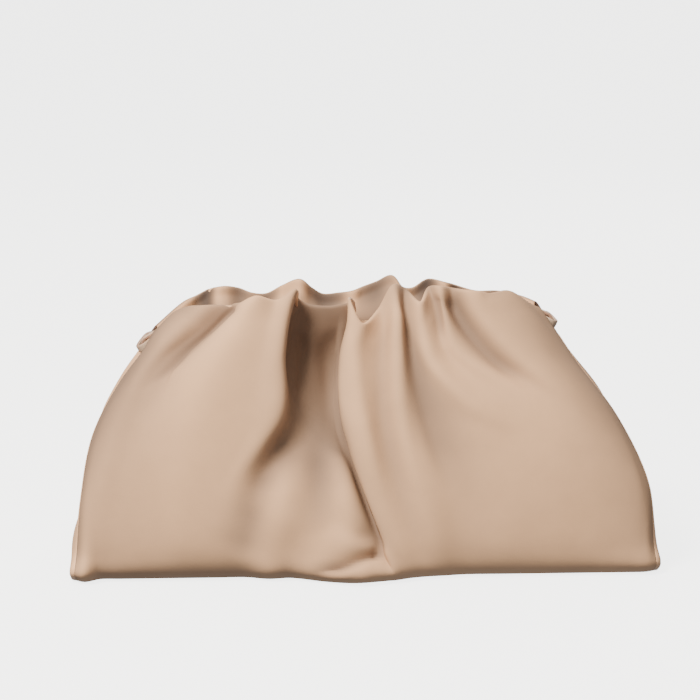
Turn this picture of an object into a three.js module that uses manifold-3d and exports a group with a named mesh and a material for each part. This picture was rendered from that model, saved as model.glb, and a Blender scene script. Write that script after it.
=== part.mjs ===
// Cloud pouch bag: one sheet of soft leather gathered on a hidden mouth frame, with folded side panels
// and a narrow strap that hangs behind. Millimetres, +Z up, front towards -Y, the origin on the floor under
// the middle of the base.
import * as THREE from 'three';
import { mergeVertices } from 'three/addons/utils/BufferGeometryUtils.js';
import Module from 'manifold-3d';

const wasm = await Module();
wasm.setup();

// Driving dimensions
const LENGTH = 380; // over the two bottom corners
const DEPTH = 150; // of the base, front to back
const HEIGHT = 190; // of the lip's reference line above the floor
const WALL = 1.8; // of the leather
const SEAM_GAP = 0.85; // between the sheet's side edge and a side panel
const SEAM_LEAD = 2.4; // how far a side panel runs on in the sheet's direction
const FOOT_LIFT = 3; // where the panels turn under, above the floor
const FOOT_TURN = 7; // from a panel's foot in to the flat of the base
const EAR_BULGE = 2.6; // a bottom corner of a side panel, past its seam
const FRAME_BAR = 3; // thickness of a frame bar
const FRAME_TALL = 5; // height of a frame bar
const FRAME_CLEAR = 0.4; // from a bar to the leather beside it
const MOUTH_GAP = 7; // clear width between the two flaps
const FLAP_DROP = 5; // end of a flap under the middle of the bars
const FLAP_RISE = 1.6; // straight of a flap over the top of the bars
const FRAME_DROP = 6.5; // middle of the bars under the crown of the sheet at either end of the mouth
const TAB_WALL = 1.8; // of the leather loops at the frame's ends
const TAB_SIDE_CLEAR = 0.5; // from a loop to the flap on either side
const TAB_CLEAR = 0.35; // round the bar and the strap inside a loop
const STRAP_WIDTH = 5;
const STRAP_THICK = 2;
const STRAP_CLEAR = 1.2; // from the strap to the back panel and round a loop
const STRAP_RISE = 4; // of the strap over the seam beside the frame's end

const HALF_LENGTH = LENGTH / 2;
const HALF_DEPTH = DEPTH / 2;

// Heights of the levels on a fold line, as shares of the height of its lip
const LEVEL_RISE = { neck: 0.925, shoulder: 0.79, chest: 0.59, waist: 0.34, hem: 0.09 };
const HEM_SWELL = 0.07; // how far the hem stands out past waist and foot, as a share of half the depth

// Front fold lines, left to right. X is a share of half the length, Y of half the depth, Z of the height.
const FRONT_COLUMNS = [
  'lipX', 'lipY', 'lipZ', 'crownZ', 'neckX', 'neckY', 'shoulderX', 'shoulderY',
  'chestX', 'chestY', 'waistX', 'waistY', 'footX', 'footY',
];
const FRONT_FOLDS = [
  // left seam, left turn, wing crest, hollow beside the wing, under the big puff, edge of the big puff
  [-0.73, -0.15, 0.79, 0.79, -0.775, -0.17, -0.865, -0.24, -0.945, -0.42, -0.966, -0.72, -0.975, -0.95],
  [-0.63, -0.19, 0.875, 0.84, -0.7, -0.26, -0.79, -0.38, -0.895, -0.62, -0.95, -0.92, -0.955, -1],
  [-0.555, -0.32, 0.894, 0.85, -0.632, -0.42, -0.755, -0.55, -0.85, -0.78, -0.91, -1, -0.915, -1],
  [-0.464, -0.28, 0.887, 0.85, -0.556, -0.36, -0.717, -0.52, -0.79, -0.8, -0.84, -1.02, -0.85, -1],
  [-0.417, -0.3, 0.895, 0.855, -0.515, -0.4, -0.652, -0.58, -0.74, -0.84, -0.78, -1.04, -0.785, -1],
  [-0.427, -0.42, 0.912, 0.86, -0.532, -0.52, -0.666, -0.7, -0.69, -0.9, -0.71, -1.06, -0.715, -1],
  // crests of the big puff, its wall into the valley
  [-0.376, -0.5, 0.939, 0.89, -0.43, -0.6, -0.52, -0.78, -0.575, -0.96, -0.62, -1.09, -0.63, -1],
  [-0.307, -0.44, 0.919, 0.9, -0.335, -0.58, -0.37, -0.75, -0.4, -0.94, -0.51, -1.09, -0.52, -1],
  [-0.242, -0.4, 0.954, 0.93, -0.268, -0.52, -0.29, -0.7, -0.3, -0.9, -0.45, -1.08, -0.42, -1],
  // centre valley: left foot, floor, floor, puff beside the crease, foot of the crease
  [-0.205, -0.27, 0.938, 0.925, -0.228, -0.24, -0.24, -0.34, -0.235, -0.72, -0.382, -1.02, -0.342, -1.02],
  [-0.18, -0.19, 0.882, 0.885, -0.19, -0.16, -0.19, -0.3, -0.2, -0.74, -0.29, -1.09, -0.266, -1.04],
  [-0.123, -0.16, 0.876, 0.88, -0.13, -0.15, -0.137, -0.27, -0.15, -0.75, -0.18, -1.06, -0.18, -1.08],
  [-0.08, -0.16, 0.882, 0.885, -0.08, -0.15, -0.096, -0.25, -0.109, -0.72, -0.085, -1.09, -0.09, -1.12],
  [-0.04, -0.145, 0.887, 0.892, -0.04, -0.145, -0.058, -0.26, -0.072, -0.72, -0.02, -0.99, 0.014, -1.1],
  // centre roll: edge, cowl, groove beside it
  [-0.058, -0.45, 0.929, 0.905, -0.063, -0.54, -0.092, -0.68, -0.099, -0.88, -0.027, -1.1, 0.055, -1.13],
  [-0.017, -0.61, 0.849, 0.91, -0.041, -0.68, -0.037, -0.8, -0.01, -0.99, 0.04, -1.13, 0.116, -1.08],
  [0.044, -0.36, 0.901, 0.92, 0.061, -0.42, 0.044, -0.62, 0.048, -0.86, 0.109, -1.07, 0.178, -1.05],
  // fan of folds on the right: ridge, groove, ridge, groove, ridge, groove
  [0.096, -0.35, 0.964, 0.94, 0.106, -0.54, 0.109, -0.7, 0.113, -0.9, 0.178, -1.11, 0.246, -1.03],
  [0.137, -0.2, 0.944, 0.935, 0.126, -0.28, 0.143, -0.52, 0.184, -0.84, 0.28, -1.06, 0.33, -1],
  [0.184, -0.48, 0.912, 0.9, 0.188, -0.56, 0.218, -0.72, 0.382, -0.92, 0.468, -1.08, 0.485, -1],
  [0.222, -0.25, 0.948, 0.93, 0.239, -0.34, 0.266, -0.56, 0.49, -0.88, 0.587, -1.06, 0.6, -1],
  [0.256, -0.36, 0.958, 0.935, 0.266, -0.46, 0.31, -0.62, 0.57, -0.86, 0.673, -1.05, 0.69, -1],
  [0.297, -0.28, 0.946, 0.93, 0.31, -0.35, 0.396, -0.55, 0.649, -0.82, 0.758, -1.03, 0.775, -1],
  // right shoulder: two soft crests, wing, right turn, right seam
  [0.355, -0.39, 0.944, 0.92, 0.389, -0.48, 0.502, -0.63, 0.717, -0.79, 0.826, -1, 0.84, -1],
  [0.423, -0.35, 0.938, 0.91, 0.478, -0.43, 0.587, -0.56, 0.772, -0.72, 0.888, -0.96, 0.9, -1],
  [0.492, -0.27, 0.936, 0.9, 0.56, -0.33, 0.649, -0.44, 0.813, -0.62, 0.932, -0.9, 0.945, -1],
  [0.577, -0.17, 0.88, 0.87, 0.632, -0.2, 0.714, -0.3, 0.85, -0.52, 0.95, -0.82, 0.955, -0.98],
  [0.61, -0.15, 0.865, 0.86, 0.655, -0.16, 0.734, -0.22, 0.865, -0.38, 0.957, -0.7, 0.975, -0.95],
];

// Back fold lines between the seams, left to right as seen from the front. reach is how far down
// a fold runs.
const BACK_COLUMNS = ['lipX', 'lipY', 'lipZ', 'crownZ', 'footX', 'fold', 'reach'];
const BACK_FOLDS = [
  [-0.61, 0.2, 0.877, 0.84, -0.93, 0, 0.5],
  [-0.557, 0.36, 0.897, 0.85, -0.85, 0.05, 0.5],
  [-0.494, 0.4, 0.905, 0.85, -0.76, 0.07, 0.6],
  [-0.437, 0.21, 0.913, 0.86, -0.68, -0.08, 0.7],
  [-0.388, 0.31, 0.89, 0.86, -0.58, 0.03, 0.6],
  [-0.338, 0.42, 0.886, 0.87, -0.49, 0.08, 0.6],
  [-0.281, 0.29, 0.92, 0.9, -0.4, -0.04, 0.8],
  [-0.221, 0.17, 0.95, 0.92, -0.31, -0.1, 0.9],
  [-0.182, 0.33, 0.916, 0.9, -0.24, 0.05, 0.7],
  [-0.14, 0.42, 0.889, 0.885, -0.16, 0.08, 0.6],
  [-0.083, 0.34, 0.894, 0.885, -0.09, 0.02, 0.6],
  [-0.037, 0.19, 0.905, 0.89, -0.01, -0.1, 0.95],
  [0.002, 0.33, 0.916, 0.9, 0.07, 0.04, 0.7],
  [0.052, 0.38, 0.932, 0.91, 0.15, 0.07, 0.6],
  [0.105, 0.26, 0.957, 0.93, 0.23, -0.03, 0.7],
  [0.137, 0.2, 0.92, 0.91, 0.31, -0.08, 0.8],
  [0.179, 0.29, 0.908, 0.9, 0.39, 0.02, 0.6],
  [0.236, 0.37, 0.933, 0.91, 0.48, 0.08, 0.6],
  [0.292, 0.25, 0.93, 0.91, 0.57, -0.06, 0.7],
  [0.342, 0.36, 0.909, 0.9, 0.66, 0.05, 0.5],
  [0.402, 0.27, 0.897, 0.89, 0.74, -0.04, 0.6],
  [0.49, 0.34, 0.89, 0.88, 0.83, 0.04, 0.5],
  [0.562, 0.2, 0.88, 0.87, 0.91, 0, 0.5],
];

// The back panel without its folds: how far out each level stands, and how far its fold lines have spread
const BACK_PROFILE = [
  { level: 'neck', out: 0.42, spread: 0.14 },
  { level: 'shoulder', out: 0.6, spread: 0.38 },
  { level: 'chest', out: 0.82, spread: 0.7 },
  { level: 'waist', out: 1.02, spread: 0.93 },
];

// Samples on each stretch of a fold line from the flap down to the foot, and between neighbouring fold lines
const STRETCH_STEPS = [1, 1, 2, 2, 2, 2, 3, 2, 2];
const ACROSS_STEPS = 2;
const BASE_STEPS = 3;

// Side panels, at a share of the seam's length: how far the middle is folded in, as a share of half
// the length, how much of the ear's bulge shows, and how far the corner is squared to the base
const GUSSET_SECTIONS = [
  { along: 0, foldIn: 0, ear: 0, square: 1 },
  { along: 0.14, foldIn: 0.012, ear: 1, square: 1 },
  { along: 0.3, foldIn: 0.06, ear: 0.1, square: 0 },
  { along: 0.5, foldIn: 0.13, ear: 0, square: 0 },
  { along: 0.72, foldIn: 0.12, ear: 0, square: 0 },
  { along: 0.88, foldIn: 0.06, ear: 0, square: 0 },
  { along: 0.97, foldIn: 0.02, ear: 0, square: 0 },
];
const GUSSET_STEPS = 2; // between two sections
const GUSSET_ACROSS = 12;
const SEAM_TOP_ROW = 6; // row of the sheet, from the flap, at which a side panel ends

// The strap's way down the back panel on either side: X as a share of half the length, Z of the height
const STRAP_ROUTE = [
  { leftX: -0.745, leftZ: 0.735, rightX: 0.645, rightZ: 0.785 },
  { leftX: -0.73, leftZ: 0.68, rightX: 0.65, rightZ: 0.71 },
  { leftX: -0.69, leftZ: 0.56, rightX: 0.63, rightZ: 0.56 },
  { leftX: -0.64, leftZ: 0.4, rightX: 0.6, rightZ: 0.4 },
  { leftX: -0.6, leftZ: 0.24, rightX: 0.57, rightZ: 0.24 },
  { leftX: -0.56, leftZ: 0.1, rightX: 0.54, rightZ: 0.1 },
];
const STRAP_ROUTE_STOPS = 14; // places where the strap is laid on the panel
// On the floor: X as a share of half the length, Y as a share of half the depth
const STRAP_FLOOR = [
  { x: -0.45, y: 1.22 },
  { x: -0.22, y: 1.3 },
  { x: 0, y: 1.32 },
  { x: 0.22, y: 1.3 },
  { x: 0.42, y: 1.22 },
];
const STRAP_STEP = 7; // length of one step of the strap's mesh

const named = (columns) => (row) => Object.fromEntries(row.map((value, i) => [columns[i], value]));
const mix = (a, b, t) => a + (b - a) * t;
const point = (x, y, z) => new THREE.Vector3(x * HALF_LENGTH, y * HALF_DEPTH, z * HEIGHT);
const curveThrough = (points) => new THREE.CatmullRomCurve3(points, false, 'centripetal');

const FRONT = FRONT_FOLDS.map(named(FRONT_COLUMNS));
const BACK = BACK_FOLDS.map(named(BACK_COLUMNS));
const MOUTH_LEFT = FRONT[0].lipX * HALF_LENGTH;
const MOUTH_RIGHT = FRONT[FRONT.length - 1].lipX * HALF_LENGTH;
const FRAME_LOW = FRONT[0].crownZ * HEIGHT - FRAME_DROP;
const FRAME_HIGH = FRONT[FRONT.length - 1].crownZ * HEIGHT - FRAME_DROP;
const FRAME_TILT = Math.atan2(FRAME_HIGH - FRAME_LOW, MOUTH_RIGHT - MOUTH_LEFT);
const FLAP_Y = MOUTH_GAP / 2 + WALL / 2;
const BAR_INNER_Y = FLAP_Y + WALL / 2 + FRAME_CLEAR;
// Middle of the frame's bars at a place along the bag
const frameZ = (x) => FRAME_LOW + Math.tan(FRAME_TILT) * (x - MOUTH_LEFT);

// One fold line, from the flap inside the mouth over the lip and down to the foot
function foldPoints(fold, side) {
  const lip = point(fold.lipX, fold.lipY, fold.lipZ);
  const crown = point(fold.crownX, 0, fold.crownZ);
  crown.y = side * mix(FLAP_Y, Math.abs(lip.y), 0.3);
  const barZ = frameZ(crown.x);
  const foot = point(fold.footX, fold.footY, 0).setZ(FOOT_LIFT);
  const level = (name) => point(fold[`${name}X`], fold[`${name}Y`], fold.lipZ * LEVEL_RISE[name]);
  const hem = level('hem');
  return [
    new THREE.Vector3(crown.x, side * FLAP_Y, barZ - FLAP_DROP),
    new THREE.Vector3(crown.x, side * FLAP_Y, barZ + FRAME_TALL / 2 + FLAP_RISE),
    crown, lip, level('neck'), level('shoulder'), level('chest'), level('waist'), hem, foot,
  ];
}

// The parts of a fold that its table leaves to its neighbours
function completeFolds(folds, side) {
  return folds.map((fold, i) => {
    const before = folds[Math.max(i - 1, 0)];
    const after = folds[Math.min(i + 1, folds.length - 1)];
    const edge = i === 0 || i === folds.length - 1;
    const crownX = edge ? fold.lipX : (before.lipX + fold.lipX + after.lipX) / 3;
    const hemX = mix(fold.footX, fold.waistX, 0.3);
    const hemY = mix(fold.footY, fold.waistY, 0.5) + side * (edge ? 0 : HEM_SWELL);
    return { ...fold, crownX, hemX, hemY };
  });
}

// A back fold line worked out from its short row, the smooth profile and the spread of its fold
function backFold(row) {
  const fold = { ...row, footY: 1 };
  for (const { level, out, spread } of BACK_PROFILE) {
    const fade = Math.max(0, 1 - spread / row.reach);
    const corner = 1 - Math.max(0, Math.abs(row.footX) - 0.7) * (1 - LEVEL_RISE[level]) * 0.4;
    fold[`${level}X`] = mix(row.lipX, row.footX, spread);
    fold[`${level}Y`] = out * corner + row.fold * mix(fade, 1, 0.2);
  }
  return fold;
}

// A back seam mirrors the front seam, so that the side panel is as wide in front as behind
function mirroredSeam(seam) {
  const back = { ...seam };
  for (const name of ['lip', 'neck', 'shoulder', 'chest', 'waist', 'foot']) {
    back[`${name}Y`] = -seam[`${name}Y`];
  }
  return back;
}

// Rows of points on a panel, from the flap to the foot, sampled across its fold lines
function panelRows(folds, side, spans) {
  const lines = completeFolds(folds, side).map((fold) => sampleLine(foldPoints(fold, side)));
  return lines[0].map((_, row) => {
    const across = curveThrough(lines.map((line) => line[row]));
    const count = spans * ACROSS_STEPS;
    return Array.from({ length: count + 1 }, (_unused, i) => across.getPoint(i / count));
  });
}

function sampleLine(points) {
  const curve = curveThrough(points);
  const samples = [];
  const stretches = STRETCH_STEPS.length;
  STRETCH_STEPS.forEach((steps, stretch) => {
    for (let i = 0; i < steps; i += 1) samples.push(curve.getPoint((stretch + i / steps) / stretches));
  });
  samples.push(curve.getPoint(1));
  return samples;
}

// Rows of the flat base between the two feet
function baseRows(frontFoot, backFoot) {
  const rows = [];
  for (let step = 0; step <= BASE_STEPS; step += 1) {
    rows.push(frontFoot.map((front, i) => {
      const back = backFoot[i];
      const inner = Math.sign(front.x) * Math.min(Math.abs(front.x), Math.abs(back.x));
      const y = mix(front.y + FOOT_TURN, back.y - FOOT_TURN, step / BASE_STEPS);
      const x = mix(mix(front.x, back.x, step / BASE_STEPS), inner, 0.5);
      return new THREE.Vector3(x, y, WALL / 2);
    }));
  }
  return rows;
}

// The normals of a grid of points, which point to the outside of the bag
function gridNormals(rows) {
  return rows.map((row, j) => row.map((_, i) => {
    const along = row[Math.min(i + 1, row.length - 1)].clone().sub(row[Math.max(i - 1, 0)]);
    const down = rows[Math.min(j + 1, rows.length - 1)][i].clone().sub(rows[Math.max(j - 1, 0)][i]);
    return down.cross(along).normalize();
  }));
}

// A closed sheet of a thickness about a grid of middle points
function sheetGeometry(rows, normals, thickness) {
  const width = rows[0].length;
  const count = rows.length * width;
  const skin = (reach) => rows.flatMap((row, j) => (
    row.map((p, i) => p.clone().addScaledVector(normals[j][i], reach))));
  const outside = skin(thickness / 2);
  const inside = skin(-thickness / 2);
  const faces = [];
  const quad = (a, b, c, d) => faces.push(a, b, c, a, c, d);
  const at = (j, i) => j * width + i;
  for (let j = 0; j < rows.length - 1; j += 1) {
    for (let i = 0; i < width - 1; i += 1) {
      quad(at(j, i), at(j + 1, i), at(j + 1, i + 1), at(j, i + 1));
      quad(count + at(j, i), count + at(j, i + 1), count + at(j + 1, i + 1), count + at(j + 1, i));
    }
  }
  const rim = [];
  for (let i = 0; i < width; i += 1) rim.push(at(0, i));
  for (let j = 1; j < rows.length; j += 1) rim.push(at(j, width - 1));
  for (let i = width - 2; i >= 0; i -= 1) rim.push(at(rows.length - 1, i));
  for (let j = rows.length - 2; j > 0; j -= 1) rim.push(at(j, 0));
  rim.forEach((a, k) => {
    const b = rim[(k + 1) % rim.length];
    quad(a, b, count + b, count + a);
  });
  return closedGeometry([...outside, ...inside], faces);
}

// A geometry of shared points, with its faces turned to point out
function closedGeometry(points, faces) {
  let volume = 0;
  for (let f = 0; f < faces.length; f += 3) {
    const [a, b, c] = [points[faces[f]], points[faces[f + 1]], points[faces[f + 2]]];
    volume += a.dot(b.clone().cross(c));
  }
  const index = volume > 0 ? faces : faces.toReversed();
  const geometry = new THREE.BufferGeometry().setFromPoints(points);
  geometry.setIndex(index);
  return geometry;
}

function leather(color) {
  return new THREE.MeshStandardMaterial({ color, roughness: 0.52, metalness: 0 });
}

function mesh(name, geometry, material) {
  const shown = geometry.clone();
  shown.computeVertexNormals();
  const piece = new THREE.Mesh(shown, material);
  piece.name = name;
  return piece;
}

// The big sheet: front panel, base and back panel
function wrapRows() {
  const seams = [FRONT[0], FRONT[FRONT.length - 1]].map(mirroredSeam);
  const back = [seams[0], ...BACK.map(backFold), seams[1]];
  const spans = FRONT.length - 1;
  const front = panelRows(FRONT, -1, spans);
  const rear = panelRows(back, 1, spans);
  const base = baseRows(front[front.length - 1], rear[rear.length - 1]);
  return { front, base, rear: rear.reverse() };
}

function outerWrap(wrap) {
  const rows = [...wrap.front, ...wrap.base, ...wrap.rear];
  const normals = gridNormals(rows);
  wrap.base.forEach((row, step) => {
    row.forEach((_, i) => normals[wrap.front.length + step][i].set(0, 0, -1));
  });
  return mesh('outer_wrap', sheetGeometry(rows, normals, WALL), leather(0xd2b196));
}

// A side panel between the two seams of one side: straight on the base, folded in along its middle
function gusset(name, wrap, side) {
  const seam = (rows, reach) => curveThrough(rows.map((row) => {
    const [end, next] = side < 0 ? [row[0], row[1]] : [row[row.length - 1], row[row.length - 2]];
    return end.clone().addScaledVector(end.clone().sub(next).normalize(), reach);
  }));
  const frontRows = wrap.front.slice(SEAM_TOP_ROW).reverse();
  const backRows = wrap.rear.slice(0, wrap.rear.length - SEAM_TOP_ROW);
  const lead = SEAM_GAP + SEAM_LEAD;
  const edges = [
    seam(frontRows, SEAM_GAP), seam(frontRows, lead),
    seam(backRows, lead), seam(backRows, SEAM_GAP),
  ];
  const levels = curveThrough(GUSSET_SECTIONS.map((s) => new THREE.Vector3(s.foldIn, s.ear, s.square)));
  const count = (GUSSET_SECTIONS.length - 1) * GUSSET_STEPS;
  const rows = Array.from({ length: count + 1 }, (_, step) => {
    const place = step / GUSSET_STEPS;
    const section = Math.min(Math.floor(place), GUSSET_SECTIONS.length - 2);
    const along = mix(GUSSET_SECTIONS[section].along, GUSSET_SECTIONS[section + 1].along, place - section);
    const { x: foldIn, y: ear, z: square } = levels.getPoint(step / count);
    return gussetRow(edges.map((edge) => edge.getPointAt(along)), { foldIn, ear, square }, side);
  });
  return mesh(name, sheetGeometry(rows, gridNormals(rows), WALL), leather(0xcaa88d));
}

// One level line across a side panel: along both seams first, then in to the fold
function gussetRow([front, frontLead, backLead, back], { foldIn, ear, square }, side) {
  const baseX = side * (HALF_LENGTH * FRONT[FRONT.length - 1].footX + SEAM_GAP + WALL / 2);
  const outer = mix(frontLead.x, baseX, square) + side * EAR_BULGE * ear;
  const middle = outer - side * foldIn * HALF_LENGTH;
  const inward = (from, to, share, fold) => new THREE.Vector3(
    mix(outer, middle, fold), mix(from.y, to.y, share), mix(from.z, to.z, share),
  );
  const across = curveThrough([
    front, frontLead,
    inward(frontLead, backLead, 0.12, 0.1),
    inward(frontLead, backLead, 0.3, 0.55),
    inward(frontLead, backLead, 0.5, 1),
    inward(backLead, frontLead, 0.3, 0.55),
    inward(backLead, frontLead, 0.12, 0.1),
    backLead, back,
  ]);
  return Array.from({ length: GUSSET_ACROSS + 1 }, (_, i) => across.getPoint(i / GUSSET_ACROSS));
}

// The hidden frame: two long bars joined at both ends, inside the gathered lips
function mouthFrame() {
  const innerLength = (MOUTH_RIGHT - MOUTH_LEFT) / Math.cos(FRAME_TILT) + 2 * FRAME_CLEAR;
  const plan = (length, halfWidth) => {
    const shape = new THREE.Shape();
    shape.moveTo(-length / 2, -halfWidth);
    shape.lineTo(length / 2, -halfWidth);
    shape.lineTo(length / 2, halfWidth);
    shape.lineTo(-length / 2, halfWidth);
    shape.closePath();
    return shape;
  };
  const outline = plan(innerLength + 2 * FRAME_BAR, BAR_INNER_Y + FRAME_BAR);
  outline.holes.push(plan(innerLength, BAR_INNER_Y));
  const geometry = new THREE.ExtrudeGeometry(outline, { depth: FRAME_TALL, bevelEnabled: false });
  geometry.translate(0, 0, -FRAME_TALL / 2);
  const frame = mesh('mouth_frame', geometry, new THREE.MeshStandardMaterial({
    color: 0xb8a684, roughness: 0.35, metalness: 0.9,
  }));
  frame.position.set((MOUTH_LEFT + MOUTH_RIGHT) / 2, 0, (FRAME_LOW + FRAME_HIGH) / 2);
  frame.rotation.y = -FRAME_TILT;
  return frame;
}

// Where the middle of a frame end's bar lies, and its outward direction along the tilted frame
function frameEnd(side) {
  const mouth = side < 0 ? MOUTH_LEFT : MOUTH_RIGHT;
  const out = new THREE.Vector3(side * Math.cos(FRAME_TILT), 0, side * Math.sin(FRAME_TILT));
  const bar = new THREE.Vector3(mouth, 0, frameZ(mouth)).addScaledVector(out, FRAME_CLEAR + FRAME_BAR / 2);
  return { bar, out };
}

const TAB_INNER_TALL = FRAME_TALL + 2 * TAB_CLEAR;
const TAB_STRAIGHT = FRAME_BAR + STRAP_THICK + 3 * TAB_CLEAR;

// A leather loop round the bar at one end of the frame, with room for the strap in its outer end
function tab(name, side) {
  const { bar, out } = frameEnd(side);
  const stadium = (radius, Path) => {
    const path = new Path();
    path.absarc(-TAB_STRAIGHT / 2, 0, radius, Math.PI / 2, Math.PI * 1.5, false);
    path.absarc(TAB_STRAIGHT / 2, 0, radius, -Math.PI / 2, Math.PI / 2, false);
    path.closePath();
    return path;
  };
  const outline = stadium(TAB_INNER_TALL / 2 + TAB_WALL, THREE.Shape);
  outline.holes.push(stadium(TAB_INNER_TALL / 2, THREE.Path));
  const width = MOUTH_GAP - 2 * TAB_SIDE_CLEAR;
  const geometry = new THREE.ExtrudeGeometry(outline, {
    depth: width, bevelEnabled: false, curveSegments: 6,
  });
  geometry.translate(0, 0, -width / 2).rotateX(Math.PI / 2);
  const loop = mesh(name, geometry, leather(0xc09d82));
  const middle = TAB_STRAIGHT / 2 - FRAME_BAR / 2 - TAB_CLEAR;
  loop.position.copy(bar).addScaledVector(out, middle);
  loop.rotation.y = -FRAME_TILT;
  return loop;
}

// The back panel's middle surface at an X and a Z, with its normal there
function backPanelAt(rows, x, z) {
  let found = null;
  const corner = (p) => [p.x - x, p.z - z];
  const cross = ([ax, az], [bx, bz]) => ax * bz - az * bx;
  const tryFace = (a, b, c) => {
    const [u, v, w] = [corner(a), corner(b), corner(c)];
    const [wa, wb, wc] = [cross(v, w), cross(w, u), cross(u, v)];
    const area = wa + wb + wc;
    if (Math.abs(area) < 1e-9 || wa / area < 0 || wb / area < 0 || wc / area < 0) return;
    const y = (a.y * wa + b.y * wb + c.y * wc) / area;
    if (found && found.y > y) return;
    const normal = b.clone().sub(a).cross(c.clone().sub(a)).normalize();
    found = { y, normal: normal.y < 0 ? normal.negate() : normal };
  };
  for (let j = 0; j < rows.length - 1; j += 1) {
    for (let i = 0; i < rows[0].length - 1; i += 1) {
      tryFace(rows[j][i], rows[j][i + 1], rows[j + 1][i]);
      tryFace(rows[j + 1][i + 1], rows[j + 1][i], rows[j][i + 1]);
    }
  }
  return found;
}

// The strap's end, folded round a loop: from its sewn tip through the loop and back along the outside
function strapEnd(side) {
  const { bar, out } = frameEnd(side);
  const inner = FRAME_BAR / 2 + TAB_CLEAR + STRAP_THICK / 2;
  const loopEnd = TAB_STRAIGHT - FRAME_BAR / 2 - TAB_CLEAR + TAB_INNER_TALL / 2 + TAB_WALL;
  const outer = loopEnd + STRAP_CLEAR + STRAP_THICK / 2;
  const half = MOUTH_GAP / 2;
  const at = (reach, y, face, rise = 0) => ({
    place: bar.clone().addScaledVector(out, reach).setY(y).add(new THREE.Vector3(0, 0, rise)),
    face: out.clone().multiplyScalar(face[0]).setY(face[1]),
  });
  const mid = (inner + outer) / 2;
  return [
    at(mid - STRAP_THICK * 0.4, half * 4, [-1, 0], STRAP_RISE),
    at(mix(inner, mid, 0.35), half * 2.2, [-1, -0.2], STRAP_RISE * 0.4),
    at(inner, half * 0.9, [-1, 0]),
    at(inner, -half * 0.9, [-1, 0]),
    at(mix(inner, mid, 0.4), -half * 1.9, [-0.6, -0.8]),
    at(mid, -half * 2.2, [0, -1]),
    at(mix(outer, mid, 0.4), -half * 1.9, [0.6, -0.8]),
    at(outer, -half * 0.9, [1, 0]),
    at(outer, half * 0.9, [1, 0]),
    at(mix(outer, mid, 0.3), half * 2.4, [1, 0.2], STRAP_RISE * 0.5),
    at(mid + STRAP_THICK * 0.2, half * 4, [1, 0.2], STRAP_RISE),
  ];
}

// The strap's way down the back panel on one side, from over its shoulder to the floor
function strapDown(rows, side) {
  const standoff = WALL / 2 + STRAP_CLEAR + STRAP_THICK / 2;
  const route = curveThrough(STRAP_ROUTE.map((stop) => (
    side < 0 ? point(stop.leftX, 0, stop.leftZ) : point(stop.rightX, 0, stop.rightZ))));
  return route.getPoints(STRAP_ROUTE_STOPS - 1).map(({ x, z }) => {
    const panel = backPanelAt(rows, x, z);
    const place = new THREE.Vector3(x, panel.y, z).addScaledVector(panel.normal, standoff);
    return { place, face: panel.normal };
  });
}

// A flat band through stops, each with a place and the direction that its face looks in
function bandGeometry(stops) {
  const line = curveThrough(stops.map((stop) => stop.place));
  const facing = curveThrough(stops.map((stop) => stop.face.clone().normalize()));
  const spans = stops.length - 1;
  const params = [];
  for (let span = 0; span < spans; span += 1) {
    const steps = Math.max(1, Math.round(stops[span].place.distanceTo(stops[span + 1].place) / STRAP_STEP));
    for (let i = 0; i < steps; i += 1) params.push((span + i / steps) / spans);
  }
  params.push(1);
  const points = params.flatMap((t) => {
    const middle = line.getPoint(t);
    const along = line.getTangent(t);
    const across = along.clone().cross(facing.getPoint(t)).normalize();
    const face = across.clone().cross(along).normalize();
    const low = middle.z - (Math.abs(across.z) * STRAP_WIDTH + Math.abs(face.z) * STRAP_THICK) / 2;
    middle.z += Math.max(0, -low);
    return [[1, 1], [-1, 1], [-1, -1], [1, -1]].map(([w, f]) => middle.clone()
      .addScaledVector(across, (w * STRAP_WIDTH) / 2).addScaledVector(face, (f * STRAP_THICK) / 2));
  });
  const faces = [];
  for (let step = 0; step < params.length - 1; step += 1) {
    for (let k = 0; k < 4; k += 1) {
      const [a, b] = [step * 4 + k, step * 4 + ((k + 1) % 4)];
      faces.push(a, b, b + 4, a, b + 4, a + 4);
    }
  }
  const last = (params.length - 1) * 4;
  faces.push(2, 1, 0, 3, 2, 0, last, last + 1, last + 2, last, last + 2, last + 3);
  return closedGeometry(points, faces);
}

function toSolid(geometry) {
  const shared = mergeVertices(geometry);
  return new wasm.Manifold(new wasm.Mesh({
    numProp: 3,
    vertProperties: new Float32Array(shared.attributes.position.array),
    triVerts: new Uint32Array(shared.index.array),
  }));
}

function fromSolid(solid) {
  const { vertProperties, triVerts } = solid.getMesh();
  const geometry = new THREE.BufferGeometry();
  geometry.setAttribute('position', new THREE.BufferAttribute(new Float32Array(vertProperties), 3));
  geometry.setIndex([...triVerts]);
  return geometry;
}

// The strap: both ends folded round the loops, the rest down the back and along the floor
function strap(wrap) {
  const [leftEnd, rightEnd] = [strapEnd(-1), strapEnd(1)];
  const floor = STRAP_FLOOR.map(({ x, y }) => ({
    place: new THREE.Vector3(x * HALF_LENGTH, y * HALF_DEPTH, STRAP_THICK / 2),
    face: new THREE.Vector3(0, 0, 1),
  }));
  const turn = 3; // stops of a folded end that the long band shares with it
  const long = [
    ...leftEnd.slice(-turn), ...strapDown(wrap.rear, -1), ...floor,
    ...strapDown(wrap.rear, 1).reverse(), ...rightEnd.slice(-turn).reverse(),
  ];
  const runs = [leftEnd.slice(0, 1 - turn), long, rightEnd.slice(0, 1 - turn)];
  const [leftBand, longBand, rightBand] = runs.map(bandGeometry).map(toSolid);
  return mesh('strap', fromSolid(leftBand.add(longBand).add(rightBand)), leather(0xc9a78b));
}

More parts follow.
